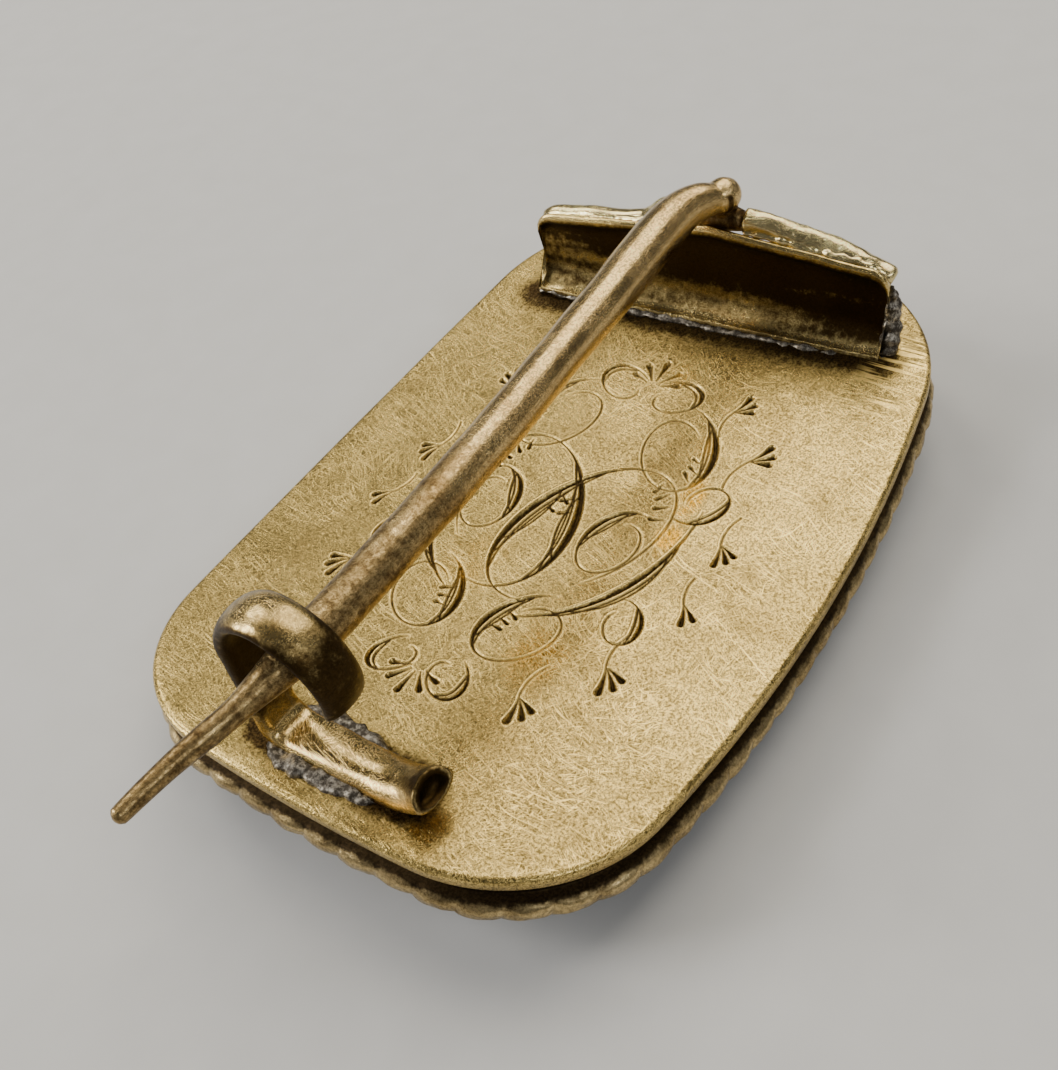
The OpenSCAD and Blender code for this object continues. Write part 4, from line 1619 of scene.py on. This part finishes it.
# %% Solder
solder_grey, tree, shader = new_material("solder and dirt")
shader.inputs["Metallic"].default_value = 0.85
vector = in_millimetres(tree)
specks = noise_node(tree, vector, Scale=6.0, Detail=5.0, Roughness=0.75)
bright_specks = range_node(tree, specks, 0.42, 0.66)
grey = mix_colour(tree, bright_specks, (0.06, 0.05, 0.038, 1), (0.42, 0.38, 0.31, 1))
relief = add_node(tree, "ShaderNodeBump", Strength=0.6, Distance=0.00004)
dullness = range_node(tree, specks, 0.4, 0.7, 0.55, 0.28)
connect(tree,
        (grey, shader.inputs["Base Color"]),
        (specks, relief.inputs["Height"]),
        (relief.outputs[0], shader.inputs["Normal"]),
        (dullness, shader.inputs["Roughness"]))
grey_seams = [row[0] for row in SEAMS if row[0].startswith("solder_")]
for name in grey_seams:
    dress(bpy.data.objects[name], solder_grey)
print("grey seams:", grey_seams)

# %% Crystal
crystal, tree, shader = new_material("flat crystal")
shader.inputs["Transmission Weight"].default_value = 1.0
shader.inputs["IOR"].default_value = 1.52
vector = in_millimetres(tree)
smears = noise_node(tree, vector, Scale=0.8, Detail=4.0)
smeared = range_node(tree, smears, 0.45, 0.7, 0.02, 0.09)
clear = mix_colour(tree, smears, (0.95, 0.97, 0.96, 1), (1, 1, 1, 1))
connect(tree, (smeared, shader.inputs["Roughness"]), (clear, shader.inputs["Base Color"]))
dress(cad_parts["glass"], crystal)
print("finish:", crystal.name)

# %% Plaited hair
PLAIT_TURN = math.radians(45)
PLAITS_PER_MM = 0.9
hair, tree, shader = new_material("plaited hair")
vector = in_millimetres(tree)
over = add_node(tree, "ShaderNodeMapping", Rotation=(0, 0, PLAIT_TURN))
checker = add_node(tree, "ShaderNodeTexChecker", Scale=PLAITS_PER_MM)
along_x = add_node(tree, "ShaderNodeTexWave", Scale=4.0, Distortion=0.4, bands_direction="X")
along_y = add_node(tree, "ShaderNodeTexWave", Scale=4.0, Distortion=0.4, bands_direction="Y")
connect(tree,
        (vector, over.inputs["Vector"]),
        (over.outputs[0], checker.inputs["Vector"]),
        (over.outputs[0], along_x.inputs["Vector"]),
        (over.outputs[0], along_y.inputs["Vector"]))
strands = mix_colour(tree, checker.outputs["Fac"], along_x.outputs["Color"], along_y.outputs["Color"])
relief = add_node(tree, "ShaderNodeBump", Strength=0.5, Distance=0.00005)
brown_hair = mix_colour(tree, strands, (0.025, 0.012, 0.006, 1), (0.16, 0.085, 0.04, 1))
connect(tree,
        (brown_hair, shader.inputs["Base Color"]),
        (strands, relief.inputs["Height"]),
        (relief.outputs[0], shader.inputs["Normal"]))
shader.inputs["Roughness"].default_value = 0.42
dress(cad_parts["hair_panel"], hair)
print("finish:", hair.name)

# %% [markdown]
# ## Table and light
# A pale table and soft light from four panels. The plate is a mirror with a satin skin: it shows
# what stands opposite the camera. So the main panel stands there, behind the hinge, a second one at
# the left, and a small one far off between them. The darkness that is left between the panels gives
# the metal its contrast. A weak one in front opens the shadows on the side of the catch.

# %% Table
TABLE_HALF = 0.6
table_mesh = bpy.data.meshes.new("table")
corners = [(TABLE_HALF * x, TABLE_HALF * y, 0) for x, y in ((-1, -1), (1, -1), (1, 1), (-1, 1))]
table_mesh.from_pydata(corners, [], [(0, 1, 2, 3)])
table = bpy.data.objects.new("table", table_mesh)
bpy.context.scene.collection.objects.link(table)
table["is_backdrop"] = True
paper, tree, shader = new_material("pale table")
shader.inputs["Roughness"].default_value = 0.7
fibres = add_node(tree, "ShaderNodeTexNoise", Scale=0.6, Detail=4.0)
vector = in_millimetres(tree)
pale = mix_colour(tree, fibres.outputs["Fac"], (0.56, 0.55, 0.53, 1), (0.62, 0.61, 0.59, 1))
connect(tree, (vector, fibres.inputs["Vector"]), (pale, shader.inputs["Base Color"]))
dress(table, paper)
print("table:", 2 * TABLE_HALF, "m wide")


# %% Lights
def panel(name, place, size, watts, colour):
    """A soft panel of light that faces the brooch."""
    data = bpy.data.lights.new(name, "AREA")
    data.shape = "RECTANGLE"
    data.size, data.size_y = size
    data.energy = watts
    data.color = colour
    light = bpy.data.objects.new(name, data)
    light.location = place
    light.rotation_euler = (LIT_PLACE - Vector(place)).to_track_quat("-Z", "Y").to_euler()
    bpy.context.scene.collection.objects.link(light)


LIT_PLACE = Vector((0, 0, 0.004))
ROOM_LIGHT = 0.14
PANELS = [
    # name, place in metres, size, watts, colour
    ("main panel", (0.263, 0.028, 0.364), (0.36, 0.36), 1.45, (1.0, 0.94, 0.82)),
    ("left panel", (-0.20, 0.34, 0.21), (0.14, 0.30), 1.6, (1.0, 0.98, 0.95)),
    ("far panel", (0.09, 0.31, 0.33), (0.16, 0.22), 0.6, (1.0, 0.96, 0.86)),
    ("front panel", (-0.10, -0.32, 0.30), (0.25, 0.12), 0.5, (0.94, 0.97, 1.0)),
]
for row in PANELS:
    panel(*row)
world = bpy.data.worlds.new("room")
bpy.context.scene.world = world
world.use_nodes = True
room = world.node_tree.nodes["Background"]
room.inputs["Color"].default_value = (0.9, 0.92, 0.95, 1)
room.inputs["Strength"].default_value = ROOM_LIGHT
print("panels:", [row[0] for row in PANELS])

# %% [markdown]
# ## Boxes of the pieces
# The solid model's box and the box of the shown pieces, without the table, are both printed in millimetres.

# %% Finish
looks_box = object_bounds()
boxes = {"cad": [list(c) for c in cad_box], "visual": [list(c) for c in looks_box]}
for name, box in boxes.items():
    print(name, "box in mm:", [[round(c / MM, 3) for c in corner] for corner in box])
